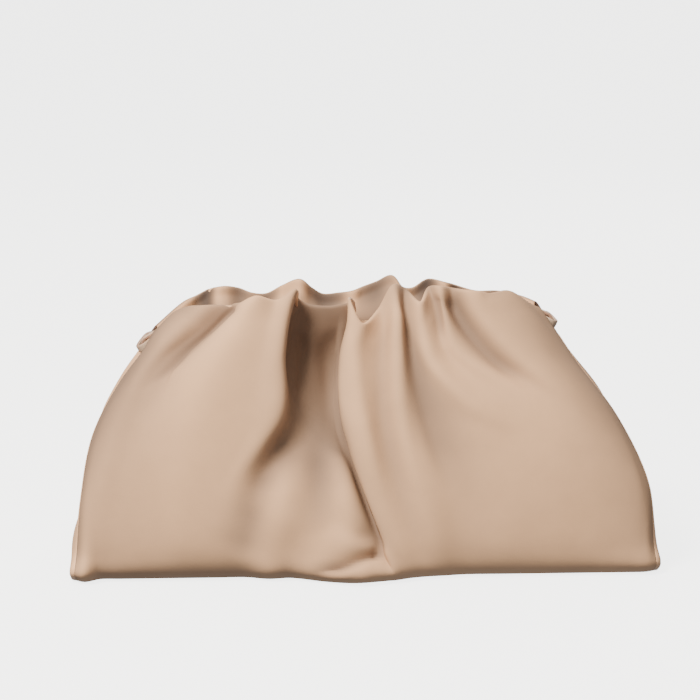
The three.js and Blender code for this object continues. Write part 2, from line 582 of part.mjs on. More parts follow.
const bag = new THREE.Group();
const wrap = wrapRows();
bag.add(outerWrap(wrap));
bag.add(gusset('gusset_left', wrap, -1));
bag.add(gusset('gusset_right', wrap, 1));
bag.add(mouthFrame());
bag.add(tab('tab_left', -1));
bag.add(tab('tab_right', 1));
bag.add(strap(wrap));

export default bag;
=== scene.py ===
"""Cloud pouch bag: the soft leather sheet, side panels, strap and loops, modelled round the fixed frame."""

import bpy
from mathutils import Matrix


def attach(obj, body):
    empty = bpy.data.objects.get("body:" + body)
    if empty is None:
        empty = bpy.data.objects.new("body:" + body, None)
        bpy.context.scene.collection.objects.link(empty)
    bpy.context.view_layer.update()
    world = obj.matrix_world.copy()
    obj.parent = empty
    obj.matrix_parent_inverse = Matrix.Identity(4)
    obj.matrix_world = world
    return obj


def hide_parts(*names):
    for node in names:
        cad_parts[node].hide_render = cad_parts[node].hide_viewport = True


bl_info = {
    "name": "Cloud Pouch Bag",
    "version": (1, 0, 0),
    "blender": (4, 5, 0),
    "location": "3D View > Sidebar > Pouch",
    "description": "Builds a gathered leather pouch bag with its strap and a plain studio stage",
    "category": "Object",
}

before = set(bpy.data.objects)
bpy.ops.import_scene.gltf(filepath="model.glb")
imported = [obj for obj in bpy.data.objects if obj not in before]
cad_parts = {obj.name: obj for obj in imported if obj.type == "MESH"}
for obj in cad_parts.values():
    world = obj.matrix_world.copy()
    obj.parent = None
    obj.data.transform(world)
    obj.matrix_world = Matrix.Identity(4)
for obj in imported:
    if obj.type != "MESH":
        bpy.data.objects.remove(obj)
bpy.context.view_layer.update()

import math

import bmesh
import bpy
import numpy as np
from bpy.props import FloatProperty, FloatVectorProperty, PointerProperty
from mathutils import Vector
from mathutils.bvhtree import BVHTree

# Sizes that the bag's tables are shares of, in metres
LENGTH = 0.380
DEPTH = 0.150
HEIGHT = 0.190
WALL = 0.0018
SEAM_GAP = 0.00085  # from the sheet's side edge to a side panel
SEAM_LEAD = 0.0024
FOOT_LIFT = 0.0075
FOOT_TURN = 0.009
FOOT_OUT = 0.0065  # how far the soft lower edge stands out past the feet
EAR_BULGE = 0.0016
FRAME_BAR = 0.003
FRAME_TALL = 0.005
FRAME_CLEAR = 0.0004
MOUTH_GAP = 0.007
FLAP_DROP = 0.005
FLAP_RISE = 0.0016
CROWN_SINK = 0.010  # how far the gutter behind a lip lies under the simple arch of the plain sheet
CROWN_CLEAR = 0.0005
CROWN_OUT = 0.3  # how far a crown stands out towards its lip, as a share
CROWN_RISE = 0.3  # and how far its inner side has come where the crown is higher than the lip
INNER_DROP = 0.006  # from a lip down to its inner side
INNER_BACK = {-1: 0.0028, 1: -0.0022}  # and back from it, on the front and the back panel
FRAME_DROP = 0.0065
TAB_WALL = 0.0018
TAB_SIDE_CLEAR = 0.0005
TAB_CLEAR = 0.00035
STRAP_WIDTH = 0.005
STRAP_THICK = 0.002
STRAP_CLEAR = 0.0012
STRAP_RISE = 0.001
LOOP_DROOP = math.radians(28)
HALF_LENGTH = LENGTH / 2
HALF_DEPTH = DEPTH / 2
SHARES = np.array([HALF_LENGTH, HALF_DEPTH, HEIGHT])

# Heights of the levels on a fold line, as shares of the height of its lip
LEVEL_RISE = {"neck": 0.925, "shoulder": 0.79, "chest": 0.59, "waist": 0.34, "hem": 0.12}
HEM_SWELL = 0.1
HEM_SEAM_SWELL = 0.6  # share of the swelling at the side seams
HEM_PLACE = {"X": 0.3, "Y": 0.5}  # how far the hem lies from the foot towards the waist

# Front fold lines, left to right. X is a share of half the length, Y of half the depth, Z of the height.
FRONT_COLUMNS = (
    "lipX lipY lipZ crownZ neckX neckY shoulderX shoulderY chestX chestY waistX waistY footX footY"
).split()
FRONT_FOLDS = (
    # left seam, left turn, wing crest, hollow beside the wing, under the big puff, edge of the big puff
    (-0.725, -0.15, 0.79, 0.79, -0.765, -0.2, -0.85, -0.34, -0.936, -0.57, -0.974, -0.88, -0.995, -1.03),
    (-0.63, -0.19, 0.875, 0.84, -0.7, -0.27, -0.79, -0.42, -0.895, -0.67, -0.95, -0.95, -0.965, -1.08),
    (-0.555, -0.32, 0.894, 0.85, -0.632, -0.42, -0.755, -0.55, -0.85, -0.78, -0.91, -1, -0.915, -1),
    (-0.47, -0.3, 0.897, 0.85, -0.545, -0.395, -0.7, -0.56, -0.79, -0.82, -0.84, -1.02, -0.85, -1),
    (-0.43, -0.31, 0.901, 0.86, -0.49, -0.385, -0.645, -0.575, -0.745, -0.86, -0.78, -1.04, -0.785, -1),
    (-0.42, -0.4, 0.911, 0.865, -0.503, -0.475, -0.64, -0.63, -0.7, -0.895, -0.71, -1.06, -0.715, -1),
    # crests of the big puff, its wall into the valley
    (-0.376, -0.5, 0.939, 0.89, -0.43, -0.6, -0.52, -0.78, -0.575, -0.96, -0.62, -1.09, -0.63, -1),
    (-0.307, -0.44, 0.919, 0.9, -0.335, -0.58, -0.37, -0.75, -0.4, -0.94, -0.51, -1.09, -0.52, -1),
    (-0.242, -0.4, 0.954, 0.93, -0.268, -0.52, -0.29, -0.7, -0.3, -0.9, -0.45, -1.08, -0.42, -1),
    # centre valley: left foot, floor, floor, puff beside the crease, foot of the crease
    (-0.232, -0.2, 0.908, 0.89, -0.257, -0.23, -0.28, -0.31, -0.265, -0.71, -0.382, -1.04, -0.342, -1.06),
    (-0.196, -0.16, 0.884, 0.87, -0.206, -0.165, -0.216, -0.21, -0.216, -0.6, -0.29, -1.06, -0.266, -1.04),
    (-0.123, -0.15, 0.876, 0.87, -0.13, -0.145, -0.137, -0.15, -0.15, -0.56, -0.17, -1.03, -0.145, -1.17),
    (-0.08, -0.15, 0.882, 0.875, -0.08, -0.145, -0.096, -0.15, -0.109, -0.54, -0.075, -1.07, -0.05, -1.22),
    (-0.04, -0.145, 0.887, 0.885, -0.035, -0.145, -0.05, -0.15, -0.06, -0.5, -0.015, -0.95, 0.07, -1.16),
    # centre roll: edge, cowl, groove beside it
    (-0.058, -0.43, 0.922, 0.905, -0.063, -0.54, -0.092, -0.68, -0.099, -0.88, -0.027, -1.1, 0.088, -1.15),
    (-0.017, -0.61, 0.849, 0.84, -0.041, -0.68, -0.037, -0.8, -0.01, -0.99, 0.04, -1.13, 0.14, -1.09),
    (0.044, -0.42, 0.885, 0.87, 0.056, -0.52, 0.044, -0.7, 0.048, -0.9, 0.109, -1.08, 0.2, -1.05),
    # fan of folds on the right: ridge, groove, ridge, groove, ridge, groove
    (0.096, -0.35, 0.964, 0.94, 0.106, -0.54, 0.109, -0.7, 0.113, -0.91, 0.178, -1.11, 0.256, -1.03),
    (0.137, -0.27, 0.944, 0.9, 0.126, -0.42, 0.15, -0.61, 0.2, -0.84, 0.28, -1.06, 0.33, -1),
    (0.184, -0.48, 0.912, 0.9, 0.188, -0.56, 0.218, -0.72, 0.382, -0.92, 0.468, -1.08, 0.485, -1),
    (0.222, -0.25, 0.948, 0.9, 0.239, -0.4, 0.266, -0.6, 0.49, -0.88, 0.587, -1.06, 0.6, -1),
    (0.256, -0.36, 0.958, 0.935, 0.266, -0.46, 0.31, -0.62, 0.57, -0.86, 0.673, -1.05, 0.69, -1),
    (0.297, -0.28, 0.946, 0.93, 0.31, -0.35, 0.396, -0.55, 0.649, -0.82, 0.758, -1.03, 0.775, -1),
    # right shoulder: two soft crests, wing, right turn, right seam
    (0.355, -0.39, 0.944, 0.92, 0.389, -0.48, 0.502, -0.63, 0.717, -0.79, 0.826, -1, 0.84, -1),
    (0.423, -0.35, 0.938, 0.91, 0.478, -0.43, 0.587, -0.56, 0.772, -0.72, 0.888, -0.96, 0.9, -1),
    (0.492, -0.27, 0.936, 0.9, 0.56, -0.33, 0.649, -0.44, 0.813, -0.62, 0.921, -0.92, 0.932, -1),
    (0.577, -0.17, 0.88, 0.87, 0.632, -0.24, 0.714, -0.38, 0.85, -0.59, 0.945, -0.88, 0.957, -0.99),
    (0.61, -0.15, 0.865, 0.86, 0.655, -0.2, 0.734, -0.33, 0.865, -0.53, 0.961, -0.83, 0.98, -0.96),
)

# Smaller creases and swellings of the front panel: height in mm, reach to the viewer's left and right in mm,
# how much of the line fades in and out, and the line, as it shows against the plane through the bag's middle
# for the camera: X as shares of half the length, Z as shares of the height
FEATURES = (
    ("valley ridge", 1.6, 5, 5, 0.3, 0.4, (
        (-0.191, 0.812), (-0.174, 0.676), (-0.16, 0.532),
    )),
    ("valley foot", -1.6, 3, 4, 0.2, 0.4, (
        (-0.216, 0.784), (-0.22, 0.64), (-0.224, 0.496),
    )),
    ("valley wall", -3.0, 8, 1.5, 0.2, 0.3, (
        (-0.082, 0.847), (-0.097, 0.711), (-0.1, 0.567), (-0.09, 0.44), (-0.065, 0.331), (-0.04, 0.239),
    )),
    ("valley floor", -2.2, 10, 7, 0.3, 0.4, (
        (-0.146, 0.783), (-0.139, 0.64), (-0.129, 0.495), (-0.101, 0.349),
    )),
    ("left crease", -1.3, 8, 2.0, 0.05, 0.45, (
        (-0.439, 0.871), (-0.474, 0.839), (-0.517, 0.797), (-0.563, 0.751), (-0.609, 0.709),
        (-0.69, 0.634), (-0.796, 0.567),
    )),
    ("line of the left crease", -0.8, 2.5, 1.5, 0.05, 0.5, (
        (-0.439, 0.871), (-0.474, 0.839), (-0.517, 0.797), (-0.563, 0.751), (-0.609, 0.709),
        (-0.69, 0.634), (-0.796, 0.567),
    )),
    ("roll above the left crease", 1.6, 9, 6, 0.2, 0.4, (
        (-0.607, 0.84), (-0.678, 0.77), (-0.742, 0.688),
    )),
    ("puff wall foot", -1.7, 7, 10, 0.3, 0.35, (
        (-0.256, 0.442), (-0.306, 0.323), (-0.353, 0.232), (-0.396, 0.141),
    )),
    ("puff below the wall", 2.6, 9, 12, 0.4, 0.4, (
        (-0.253, 0.333), (-0.278, 0.205), (-0.279, 0.058), (-0.255, -0.024),
    )),
    ("dent left of the lower puff", -1.6, 16, 9, 0.4, 0.3, (
        (-0.36, 0.206), (-0.404, 0.078), (-0.44, -0.058),
    )),
    ("groove in the lower puff", -1.6, 8, 8, 0.4, 0.5, (
        (-0.168, 0.441), (-0.161, 0.314), (-0.161, 0.167), (-0.176, 0.057),
    )),
    ("ridge of the lower puff", 1.6, 8, 5, 0.3, 0.2, (
        (-0.101, 0.386), (-0.054, 0.221), (-0.019, 0.11), (0.017, 0.017),
    )),
    ("puff tip", 3.1, 14, 5, 0.5, 0.1, (
        (-0.119, 0.086), (-0.04, -0), (0.049, -0.024),
    )),
    ("crease under the tip", -4.5, 2.5, 7, 0.4, 0.12, (
        (-0.198, -0.106), (-0.101, -0.096), (-0.019, -0.068), (0.071, -0.032),
    )),
    ("wedge under the tip", 1.2, 4, 6, 0.4, 0.3, (
        (-0.047, -0.123), (0.024, -0.105), (0.089, -0.069),
    )),
    ("centre crease", -2.2, 3.0, 3.0, 0.3, 0.1, (
        (-0.079, 0.531), (-0.062, 0.385), (-0.019, 0.232), (0.02, 0.128), (0.053, 0.046),
        (0.082, -0.043),
    )),
    ("first ridge", 1.3, 4, 5, 0.1, 0.4, (
        (-0.023, 0.8), (-0.026, 0.674), (-0.016, 0.53), (0.027, 0.312), (0.088, 0.109),
    )),
    ("first groove", -0.9, 7, 7, 0.2, 0.4, (
        (0.086, 0.845), (0.058, 0.638), (0.062, 0.511), (0.098, 0.311), (0.16, 0.119),
    )),
    ("second ridge", 1.3, 5, 4, 0.1, 0.4, (
        (0.124, 0.888), (0.122, 0.709), (0.133, 0.529), (0.169, 0.31), (0.231, 0.107),
    )),
    ("long groove", -1.5, 5, 7, 0.35, 0.35, (
        (0.145, 0.916), (0.167, 0.709), (0.193, 0.564), (0.236, 0.419), (0.298, 0.235), (0.338, 0.143),
    )),
    ("third ridge", 1.2, 5, 7, 0.2, 0.4, (
        (0.22, 0.816), (0.249, 0.69), (0.324, 0.556), (0.467, 0.453), (0.628, 0.422),
    )),
    ("short groove", -1.8, 3.5, 3.5, 0.1, 0.5, (
        (0.258, 0.908), (0.269, 0.815), (0.284, 0.715),
    )),
    ("fan groove", -1.9, 4, 6, 0.1, 0.35, (
        (0.293, 0.908), (0.332, 0.822), (0.39, 0.742), (0.49, 0.644), (0.597, 0.589),
    )),
    ("shoulder crease", -1.0, 4, 5, 0.2, 0.4, (
        (0.409, 0.896), (0.465, 0.917), (0.521, 0.92),
    )),
)

# Back fold lines between the seams, left to right as seen from the front. reach is how far down a fold runs.
BACK_COLUMNS = "lipX lipY lipZ crownZ footX fold reach".split()
BACK_FOLDS = (
    (-0.63, 0.24, 0.865, 0.83, -0.93, 0.02, 0.5),
    (-0.582, 0.37, 0.882, 0.84, -0.87, 0.04, 0.5),
    (-0.547, 0.41, 0.898, 0.84, -0.81, 0.06, 0.6),
    (-0.51, 0.3, 0.915, 0.86, -0.76, 0.02, 0.6),
    (-0.483, 0.31, 0.917, 0.87, -0.71, 0.0, 0.7),
    (-0.437, 0.37, 0.906, 0.86, -0.65, 0.03, 0.7),
    (-0.388, 0.34, 0.89, 0.86, -0.57, 0.04, 0.6),
    (-0.338, 0.37, 0.886, 0.87, -0.49, 0.08, 0.6),
    (-0.281, 0.29, 0.92, 0.9, -0.4, -0.04, 0.8),
    (-0.221, 0.17, 0.95, 0.92, -0.31, -0.1, 0.9),
    (-0.182, 0.25, 0.916, 0.9, -0.24, 0.05, 0.7),
    (-0.14, 0.29, 0.889, 0.885, -0.16, 0.08, 0.6),
    (-0.083, 0.26, 0.894, 0.885, -0.09, 0.02, 0.6),
    (-0.037, 0.19, 0.905, 0.89, -0.01, -0.1, 0.95),
    (0.002, 0.25, 0.916, 0.9, 0.07, 0.04, 0.7),
    (0.052, 0.28, 0.932, 0.91, 0.15, 0.07, 0.6),
    (0.105, 0.23, 0.957, 0.93, 0.23, -0.03, 0.7),
    (0.137, 0.2, 0.92, 0.91, 0.31, -0.08, 0.8),
    (0.179, 0.29, 0.908, 0.9, 0.39, 0.02, 0.6),
    (0.236, 0.37, 0.933, 0.91, 0.48, 0.08, 0.6),
    (0.292, 0.25, 0.93, 0.91, 0.57, -0.06, 0.7),
    (0.342, 0.36, 0.909, 0.9, 0.66, 0.05, 0.5),
    (0.402, 0.27, 0.897, 0.89, 0.74, -0.04, 0.6),
    (0.49, 0.34, 0.89, 0.88, 0.83, 0.04, 0.5),
    (0.562, 0.2, 0.88, 0.87, 0.91, 0, 0.5),
)

# The back panel without its folds: how far out each level stands, and how far its fold lines have spread
BACK_PROFILE = (
    ("neck", 0.42, 0.14),
    ("shoulder", 0.6, 0.38),
    ("chest", 0.82, 0.7),
    ("waist", 1.02, 0.93),
)
BACK_CORNER = 0.7  # where its rounding towards the side seams starts, as a share of half the length
BACK_ROUNDING = 0.4  # how strongly it draws in there
BACK_FOLD_LEFT = 0.2  # share of a fold that stays below its reach

# The back's left seam stands further in than the front's, so that it hides behind it
BACK_LEFT_IN = {"shoulderX": 0.025, "chestX": 0.035, "waistX": 0.025, "footX": 0.02}

# Side panels, up the seam: share of its length, fold of the middle as a share of half the length, ear, and
# square corner
GUSSET_SECTIONS = (
    (0, 0, 0, 1),
    (0.14, 0.012, 1, 1),
    (0.3, 0.06, 0.1, 0),
    (0.5, 0.13, 0, 0),
    (0.72, 0.12, 0, 0),
    (0.88, 0.06, 0, 0),
    (0.97, 0.02, 0, 0),
)

GUSSET_ACROSS = ((0.12, 0.1), (0.3, 0.55), (0.5, 1), (0.7, 0.55), (0.88, 0.1))  # place, share of the fold
GUSSET_ACROSS_STEPS = (3, 5, 6, 7, 7, 6, 5, 3)

# The strap's way down the back panel on either side, then along the floor, as shares
STRAP_LEFT = ((-0.745, 0.735), (-0.73, 0.68), (-0.69, 0.56), (-0.64, 0.4), (-0.6, 0.24), (-0.56, 0.1))
STRAP_RIGHT = ((0.645, 0.785), (0.65, 0.71), (0.63, 0.56), (0.6, 0.4), (0.57, 0.24), (0.54, 0.1))
STRAP_ROUTE_STOPS = 14
STRAP_FLOOR = ((-0.45, 1.22), (-0.22, 1.3), (0, 1.32), (0.22, 1.3), (0.42, 1.22))
STRAP_STEP = 0.002
STRAP_CROWN = 0.00015  # rise of the strap's middle over its edges
TAB_TURN_STEPS = 14  # in each half turn of a loop
BAND_SHARES = np.linspace(-0.5, 0.5, 5)  # places across a loop or the strap
EDGE_SEGMENTS = 2
EDGE_ANGLE = math.radians(50)

# Samples of the fine surface on each stretch of a fold line, and between neighbouring fold lines
STRETCH_STEPS = (3, 3, 6, 6, 8, 12, 14, 16, 12, 8, 7)
BACK_STRETCH_STEPS = (3, 3, 6, 6, 6, 7, 8, 8, 6, 5, 5)
ACROSS_STEPS = 7
BASE_STEPS = 6
FEATURE_STEPS = 4  # steps on each stretch of a pressed line
MM = 0.001  # a millimetre in metres

# Painted shade in the hollows of the folds
SHADE_CREASE = 0.005  # depth of a pressed crease at full shade
SHADE_REACHES = ((5, 0.02), (40, 0.029))  # neighbours that count on either side, and depth of full shade
SHADE_BLUR = 3
SHADE_LIP = 0.007  # light rim of a lip, and depth of full shade under it
SHADE_UNDER_LIP = 0.014
SHADE_POCKET = 16  # neighbours that count on either side for the pockets inside the mouth
SHADE_POCKET_DEPTH = 0.0045
SHADE_MOST = {-1: 0.95, 1: 2.1}  # on the front and the back panel

# Side panels and their seams
GUSSET_STEPS = 8
LIP_STRETCHES = 4  # stretches of a fold line inside its lip
SEAM_TOP = 5  # and above a side panel
SEAM_LAP = 0.0002  # from the sheet's side edge to a side panel's visible edge
SEAM_TURN = 0.0012  # to where a side panel turns in

# The photograph's camera: where it looks, from which side, how far away and through which lens
CAMERA_TARGET = Vector((-0.009, 0, 0.135))
CAMERA_AZIMUTH = math.radians(-2.6)
CAMERA_ELEVATION = math.radians(11.5)
CAMERA_DISTANCE = 1.632
CAMERA_LENS = 125.7
CAMERA_SENSOR = 36

# Soft studio light: name, place, size and power of each lamp
LIGHTS = (
    ("key", (-0.75, -0.85, 1.45), 0.6, 78),
    ("rear", (0.5, 1.5, 1.1), 0.8, 16),
)
LIGHT_TARGET = (0, 0, 0.09)
LIGHT_COLOUR = (1, 0.95, 0.88)
WORLD_LIGHT = 0.85
# Colour of the light from below, from the horizon and from above, at the height of its direction, -1 to 1
WORLD_COLOURS = ((-1, (0.55, 0.61, 0.72)), (0, (0.2, 0.225, 0.28)), (0.45, (1, 1, 1)))
FLOOR_SIZE = 14
FLOOR_GLOW = 3.8
FLOOR_GLOW_COLOUR = (1, 1, 0.985)

# Finishes of the leather: roughness and its drift, how much paler worn patches are, pebbles on a metre,
# depth and strength of the grain, and depth of soft ripples
LEATHER_COLUMNS = "roughness drift worn pebbles grain bump ripple".split()
LEATHERS = {
    "Soft leather": (0.47, 0.07, 1.1, 1300, 0.00003, 0.5, 0.0009),
    "Suede inside": (0.85, 0.05, 1.15, 2600, 0.00005, 0.6, 0),
    "Painted edge": (0.4, 0.1, 1.3, 900, 0.00004, 0.4, 0),
    "Strap leather": (0.42, 0.1, 1.1, 1500, 0.00003, 0.5, 0),
}
LEATHER_SPECULAR = 0.3
SUEDE_SHADE = 0.8  # the suede's colour as a share of the leather's
WRINKLE_SHARE = 0.2  # wrinkles for each pebble
WRINKLE_WEIGHT = 2.2  # height of the wrinkles as a multiple of the pebbles'
PAINTED_SHADE_TINT = (0.34, 0.365, 0.43)  # painted shade: what a hollow of full depth leaves of the leather's colour
MIX_COLOURS = (6, 7)  # a colour mix's inputs and output, which share their names with others
MIX_RESULT = 2

FRONT = [dict(zip(FRONT_COLUMNS, row)) for row in FRONT_FOLDS]
MOUTH_LEFT = FRONT[0]["lipX"] * HALF_LENGTH
MOUTH_RIGHT = FRONT[-1]["lipX"] * HALF_LENGTH
FRAME_LOW = FRONT[0]["crownZ"] * HEIGHT - FRAME_DROP
FRAME_HIGH = FRONT[-1]["crownZ"] * HEIGHT - FRAME_DROP
FRAME_TILT = math.atan2(FRAME_HIGH - FRAME_LOW, MOUTH_RIGHT - MOUTH_LEFT)
FLAP_Y = MOUTH_GAP / 2 + WALL / 2
TAB_INNER_TALL = FRAME_TALL + 2 * TAB_CLEAR
TAB_STRAIGHT = FRAME_BAR + STRAP_THICK + 3 * TAB_CLEAR


def mix(a, b, t):
    return a + (b - a) * t


def frame_z(x):
    return FRAME_LOW + math.tan(FRAME_TILT) * (x - MOUTH_LEFT)


def curve_samples(points, places):
    """Points on smooth curves through each row of points, at places counted in stretches from the start."""
    first = 2 * points[:, :1] - points[:, 1:2]
    last = 2 * points[:, -1:] - points[:, -2:-1]
    p = np.concatenate([first, points, last], axis=1)
    gaps = np.maximum(np.linalg.norm(np.diff(p, axis=1), axis=2, keepdims=True), 1e-9) ** 0.5
    samples = []
    for place in places:
        k = min(int(place), points.shape[1] - 2)
        t = place - k
        x0, x1, x2, x3 = (p[:, k + n] for n in range(4))
        d0, d1, d2 = (gaps[:, k + n] for n in range(3))
        t1 = ((x1 - x0) / d0 - (x2 - x0) / (d0 + d1) + (x2 - x1) / d1) * d1
        t2 = ((x2 - x1) / d1 - (x3 - x1) / (d1 + d2) + (x3 - x2) / d2) * d1
        samples.append(
            x1 * (2 * t**3 - 3 * t**2 + 1) + t1 * (t**3 - 2 * t**2 + t)
            + x2 * (3 * t**2 - 2 * t**3) + t2 * (t**3 - t**2)
        )
    return np.stack(samples, axis=1)


def curve_rows(points, steps):
    """Each row of points as one smooth curve, with a number of steps to each stretch."""
    places = [k + i / count for k, count in enumerate(steps) for i in range(count)]
    return curve_samples(points, [*places, len(steps)])


def single_curve(points, places):
    return curve_samples(np.asarray(points)[None], places)[0]


def at_lengths(line, shares):
    """Points on a polyline at shares of its whole length."""
    along = np.concatenate([[0], np.cumsum(np.linalg.norm(np.diff(line, axis=0), axis=1))])
    return np.stack([np.interp(np.array(shares) * along[-1], along, line[:, n]) for n in range(3)], axis=1)


def fold_points(fold, side):
    """One fold line, from the flap inside the mouth over the lip and down to the foot."""
    lip = SHARES * (fold["lipX"], fold["lipY"], fold["lipZ"])
    crown_y = side * mix(FLAP_Y, abs(lip[1]), CROWN_OUT)
    crown = np.array([fold["crownX"] * HALF_LENGTH, crown_y, fold["crownZ"] * HEIGHT])
    bar_z = frame_z(crown[0])
    levels = [
        SHARES * (fold[name + "X"], fold[name + "Y"], fold["lipZ"] * rise)
        for name, rise in LEVEL_RISE.items()
    ]
    foot = np.array([fold["footX"] * HALF_LENGTH, fold["footY"] * HALF_DEPTH + side * FOOT_OUT, FOOT_LIFT])
    flap_end = np.array([crown[0], side * FLAP_Y, bar_z - FLAP_DROP])
    flap_top = np.array([crown[0], side * FLAP_Y, bar_z + FRAME_TALL / 2 + FLAP_RISE])
    if fold["crownZ"] > fold["lipZ"]:
        inner = mix(lip, crown, CROWN_RISE)
    else:
        crown[2] = max(crown[2] - CROWN_SINK, flap_top[2] + CROWN_CLEAR)
        inner = np.array([lip[0], lip[1] + INNER_BACK[side], min(lip[2], lip[2] - INNER_DROP)])
    under = np.array([foot[0], foot[1] - side * FOOT_TURN, WALL / 2])
    return np.array([flap_end, flap_top, crown, inner, lip, *levels, foot, under])


def complete_folds(folds, side):
    """The parts of each fold that its table leaves to its neighbours."""
    whole = []
    for i, fold in enumerate(folds):
        edge = i in (0, len(folds) - 1)
        near = [folds[max(i - 1, 0)], fold, folds[min(i + 1, len(folds) - 1)]]
        crown_x = fold["lipX"] if edge else sum(f["lipX"] for f in near) / len(near)
        swell = HEM_SWELL * (HEM_SEAM_SWELL if edge else 1)
        whole.append({
            **fold,
            "crownX": crown_x,
            "hemX": mix(fold["footX"], fold["waistX"], HEM_PLACE["X"]),
            "hemY": mix(fold["footY"], fold["waistY"], HEM_PLACE["Y"]) + side * swell,
        })
    return whole


def back_fold(row):
    """A back fold line worked out from its short row, the smooth profile and the spread of its fold."""
    fold = {**row, "footY": 1}
    for level, out, spread in BACK_PROFILE:
        fade = max(0, 1 - spread / row["reach"])
        corner = 1 - max(0, abs(row["footX"]) - BACK_CORNER) * (1 - LEVEL_RISE[level]) * BACK_ROUNDING
        fold[level + "X"] = mix(row["lipX"], row["footX"], spread)
        fold[level + "Y"] = out * corner + row["fold"] * mix(fade, 1, BACK_FOLD_LEFT)
    return fold


def mirrored_seam(seam, inward):
    """A side seam of the back panel: the front one mirrored, with some levels further in."""
    mirrored = {key: -value if key.endswith("Y") else value for key, value in seam.items()}
    return {key: value + inward.get(key, 0) for key, value in mirrored.items()}


def panel_rows(folds, side, stretch_steps, across):
    """Rows of points on a panel, from the flap to the foot, across its fold lines."""
    lines = np.array([fold_points(fold, side) for fold in complete_folds(folds, side)])
    down = curve_rows(lines, stretch_steps)
    rows = down.transpose(1, 0, 2)
    return curve_rows(rows, across)


def spread_steps(spans, total):
    """A total number of steps shared out over spans as evenly as whole numbers allow."""
    marks = [round(total * k / spans) for k in range(spans + 1)]
    return [b - a for a, b in zip(marks, marks[1:])]


def camera_point():
    cosine = math.cos(CAMERA_ELEVATION)
    back = Vector((math.sin(CAMERA_AZIMUTH) * cosine, -math.cos(CAMERA_AZIMUTH) * cosine,
                   math.sin(CAMERA_ELEVATION)))
    return CAMERA_TARGET + back * CAMERA_DISTANCE, back


def grid_normals(rows):
    """Unit normals of a grid of points, which point out of the bag."""
    normals = np.cross(np.gradient(rows, axis=0), np.gradient(rows, axis=1))
    return normals / np.maximum(np.linalg.norm(normals, axis=2, keepdims=True), 1e-12)


def smooth(t):
    t = np.clip(t, 0, 1)
    return t * t * (3 - 2 * t)


def along_line(shown, line):
    """How far each shown point lies to the right of a line of points, and at which share of its length."""
    steps = np.diff(line, axis=0)
    lengths = np.linalg.norm(steps, axis=1)
    starts = np.concatenate([[0], np.cumsum(lengths)])
    nearest = np.full(shown.shape[:2], np.inf)
    side, share = np.zeros_like(nearest), np.zeros_like(nearest)
    for k, (start, step, length) in enumerate(zip(line[:-1], steps, lengths)):
        apart = shown - start
        t = np.clip(apart @ step / length**2, 0, 1)
        gap = np.linalg.norm(apart - t[..., None] * step, axis=2)
        turn = step[0] * apart[..., 1] - step[1] * apart[..., 0]
        closer = gap < nearest
        nearest = np.where(closer, gap, nearest)
        side = np.where(closer, np.where(turn >= 0, gap, -gap), side)
        share = np.where(closer, (starts[k] + t * length) / starts[-1], share)
    return side, share


def press_features(rows):
    """The front panel with its smaller creases and swellings pressed in, and how far they shift it."""
    eye = np.array(camera_point()[0])
    onward = eye[1] / (eye[1] - rows[..., 1:2])
    shown = (eye + (rows - eye) * onward)[..., (0, 2)]
    normals = grid_normals(rows)
    shift = np.zeros(rows.shape[:2])
    for _name, height, left, right, fade_in, fade_out, places in FEATURES:
        line = np.array(places) * (HALF_LENGTH, HEIGHT)
        stretches = len(line) - 1
        line = single_curve(line, np.linspace(0, stretches, FEATURE_STEPS * stretches + 1))
        side, share = along_line(shown, line)
        reach = np.where(side < 0, left, right) * MM
        fade = smooth(share / max(fade_in, 1e-6)) * smooth((1 - share) / max(fade_out, 1e-6))
        shift += height * MM * fade * np.exp(-((side / reach) ** 2))
    return rows + normals * shift[..., None], shift


def wrap_panels():
    """The sheet's three stretches of rows, front panel, base and back panel, and the painted shade of all
    points.
    """
    total = (len(FRONT) - 1) * ACROSS_STEPS
    back_rows = [dict(zip(BACK_COLUMNS, row)) for row in BACK_FOLDS]
    back = [mirrored_seam(FRONT[0], BACK_LEFT_IN), *map(back_fold, back_rows), mirrored_seam(FRONT[-1], {})]
    front_grid = panel_rows(FRONT, -1, STRETCH_STEPS, spread_steps(len(FRONT) - 1, total))
    front_grid, pressed = press_features(front_grid)
    front_grid[..., 2] = np.maximum(front_grid[..., 2], WALL / 2)
    back_grid = panel_rows(back, 1, BACK_STRETCH_STEPS, spread_steps(len(back) - 1, total))
    front_foot, back_foot = front_grid[-1], back_grid[-1]
    base = [mix(front_foot, back_foot, step / BASE_STEPS) for step in range(1, BASE_STEPS)]
    front_shade = painted_fold_shade(front_grid, -1, sum(STRETCH_STEPS[:LIP_STRETCHES]), pressed)
    back_lip = sum(BACK_STRETCH_STEPS[:LIP_STRETCHES])
    back_shade = painted_fold_shade(back_grid, 1, back_lip, np.zeros_like(pressed[:1]))
    shade = np.concatenate([front_shade, np.zeros((len(base), total + 1)), back_shade[::-1]])
    return front_grid, np.array(base), back_grid[::-1], shade


def near_columns(values, reach, pick):
    """Each value's neighbours on its row, up to a number of columns away, drawn together by a function."""
    padded = np.pad(values, ((0, 0), (reach, reach)), mode="edge")
    return pick(np.lib.stride_tricks.sliding_window_view(padded, 2 * reach + 1, axis=1))


